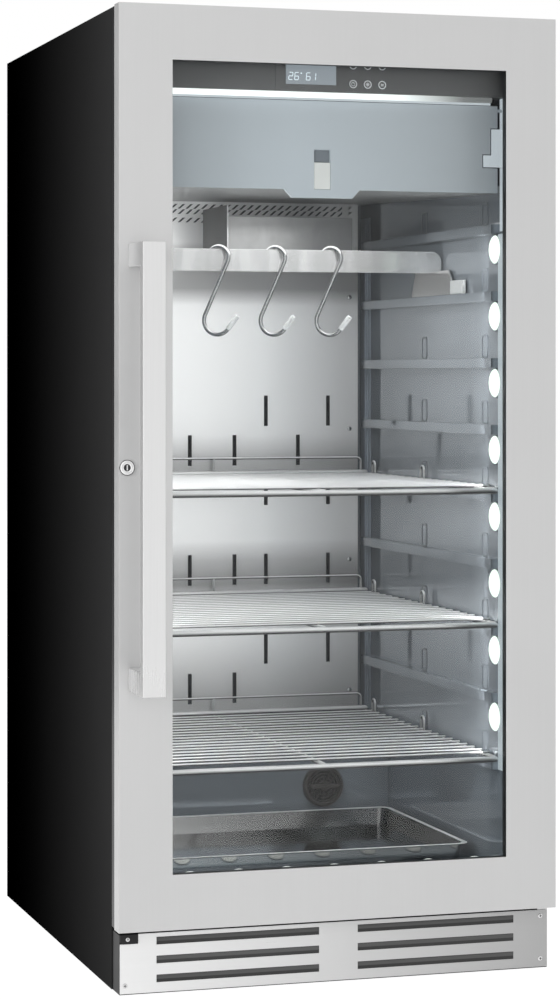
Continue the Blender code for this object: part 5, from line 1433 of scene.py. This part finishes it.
def stage_plane(name, corners, look):
    """A flat stage object between four corners."""
    mesh = bpy.data.meshes.new(name)
    mesh.from_pydata(corners, [], [(0, 1, 2, 3)])
    mesh.materials.append(looks[look])
    thing = bpy.data.objects.new(name, mesh)
    bpy.context.collection.objects.link(thing)
    return thing


def make_floor():
    """A pale floor: white in mirrors and, away from the object's soft shadow, white to the eye."""
    tree, shader = start_material("pale_floor")
    feed(tree, shader, {"Base Color": grey(floor_tone), "Roughness": 0.9, "Specular IOR Level": 0.0})
    light = add_node(tree, "Emission", {"Color": grey(1.0), "Strength": floor_strength})[0]
    path = add_node(tree, "LightPath")
    share = maths(tree, "MULTIPLY", path["Is Camera Ray"], floor_share_seen)
    show_blend(tree, maths(tree, "MAXIMUM", share, path["Is Glossy Ray"]), shader.outputs[0], light)
    corners = [(x * floor_reach, y * floor_reach, 0) for x, y in ((-1, -1), (1, -1), (1, 1), (-1, 1))]
    stage_plane("floor", corners, "pale_floor")


make_floor()


# %% [markdown]
# One dark card stands behind and left of the case, out of the camera's sight, as a photographer would
# place it, and shows only in mirrors. The black side's slow change of tone is painted shade in its paint.

# %% The dark card
card_x = (-2.6, 0.4)
card_y = 2.6
card_z = (-0.4, 3.4)


def make_card():
    """A dark card behind and left of the case, seen only in mirrors, paler towards its outer edge."""
    tree = start_material("dark_card")[0]
    tone = spread(tree, one_axis(tree, object_place(tree), "X"), 0.22, 0.01, -1.45, -1.0)
    light = add_node(tree, "Emission", {"Strength": tone})[0]
    feed(tree, tree.nodes["Material Output"], {"Surface": light})
    (left, right), y, (low, high) = card_x, card_y, card_z
    corners = [(left, y, low), (right, y, low), (right, y, high), (left, y, high)]
    card = stage_plane("dark_card", corners, "dark_card")
    card.visible_camera = card.visible_diffuse = card.visible_shadow = card.visible_transmission = False


make_card()


# %% [markdown]
# Large soft lamps stand in front and at the left. Small ones in the chamber stand for the light that
# the covers throw, which a path tracer would find only slowly.

# %% The lamps
def area_light(name, place, aim, width, height, watts, mirrored=False):
    """A soft lamp at a place, turned towards another, not seen by the camera and seldom in mirrors."""
    lamp = bpy.data.lights.new(name, "AREA")
    lamp.shape = "RECTANGLE"
    lamp.size, lamp.size_y, lamp.energy = width, height, watts
    thing = bpy.data.objects.new(name, lamp)
    bpy.context.collection.objects.link(thing)
    x, y, z = np.subtract(aim, place)
    thing.location = place
    thing.rotation_euler = (math.atan2(math.hypot(x, y), -z), 0, math.atan2(x, -y) + math.pi)
    thing.visible_camera = thing.visible_transmission = False
    thing.visible_glossy = mirrored


area_light("key_lamp", (-0.35, -3.2, 0.95), (-0.05, 0, 0.75), 0.3, 1.3, 7)
area_light("fill_lamp", (-2.0, -2.6, 1.9), (0, 0, 0.6), 1.6, 1.6, 8)
area_light("left_lamp", (-2.4, -1.5, 0.9), (-0.25, -0.35, 0.75), 0.8, 1.6, 20)
area_light("ceiling_lamp", (0, -0.05, 1.012), (0, -0.05, 0.2), 0.3, 0.2, 0.9)
area_light("corner_lamp", (-0.13, 0.21, 0.985), (-0.14, 0.33, 1.0), 0.08, 0.03, 0.12)
area_light("gleam_lamp", (0, -0.05, 1.01), (0, -0.05, 0.2), 0.3, 0.2, 0.3, True)
area_light("left_lamps", (-0.235, -0.215, 0.62), (0, 0, 0.62), 0.03, 0.72, 1.6)
area_light("right_lamps", (0.235, -0.215, 0.62), (0, 0, 0.62), 0.03, 0.72, 1.6)
bpy.context.scene.view_settings.view_transform = "Standard"
print("lamps:", len(bpy.data.lights))
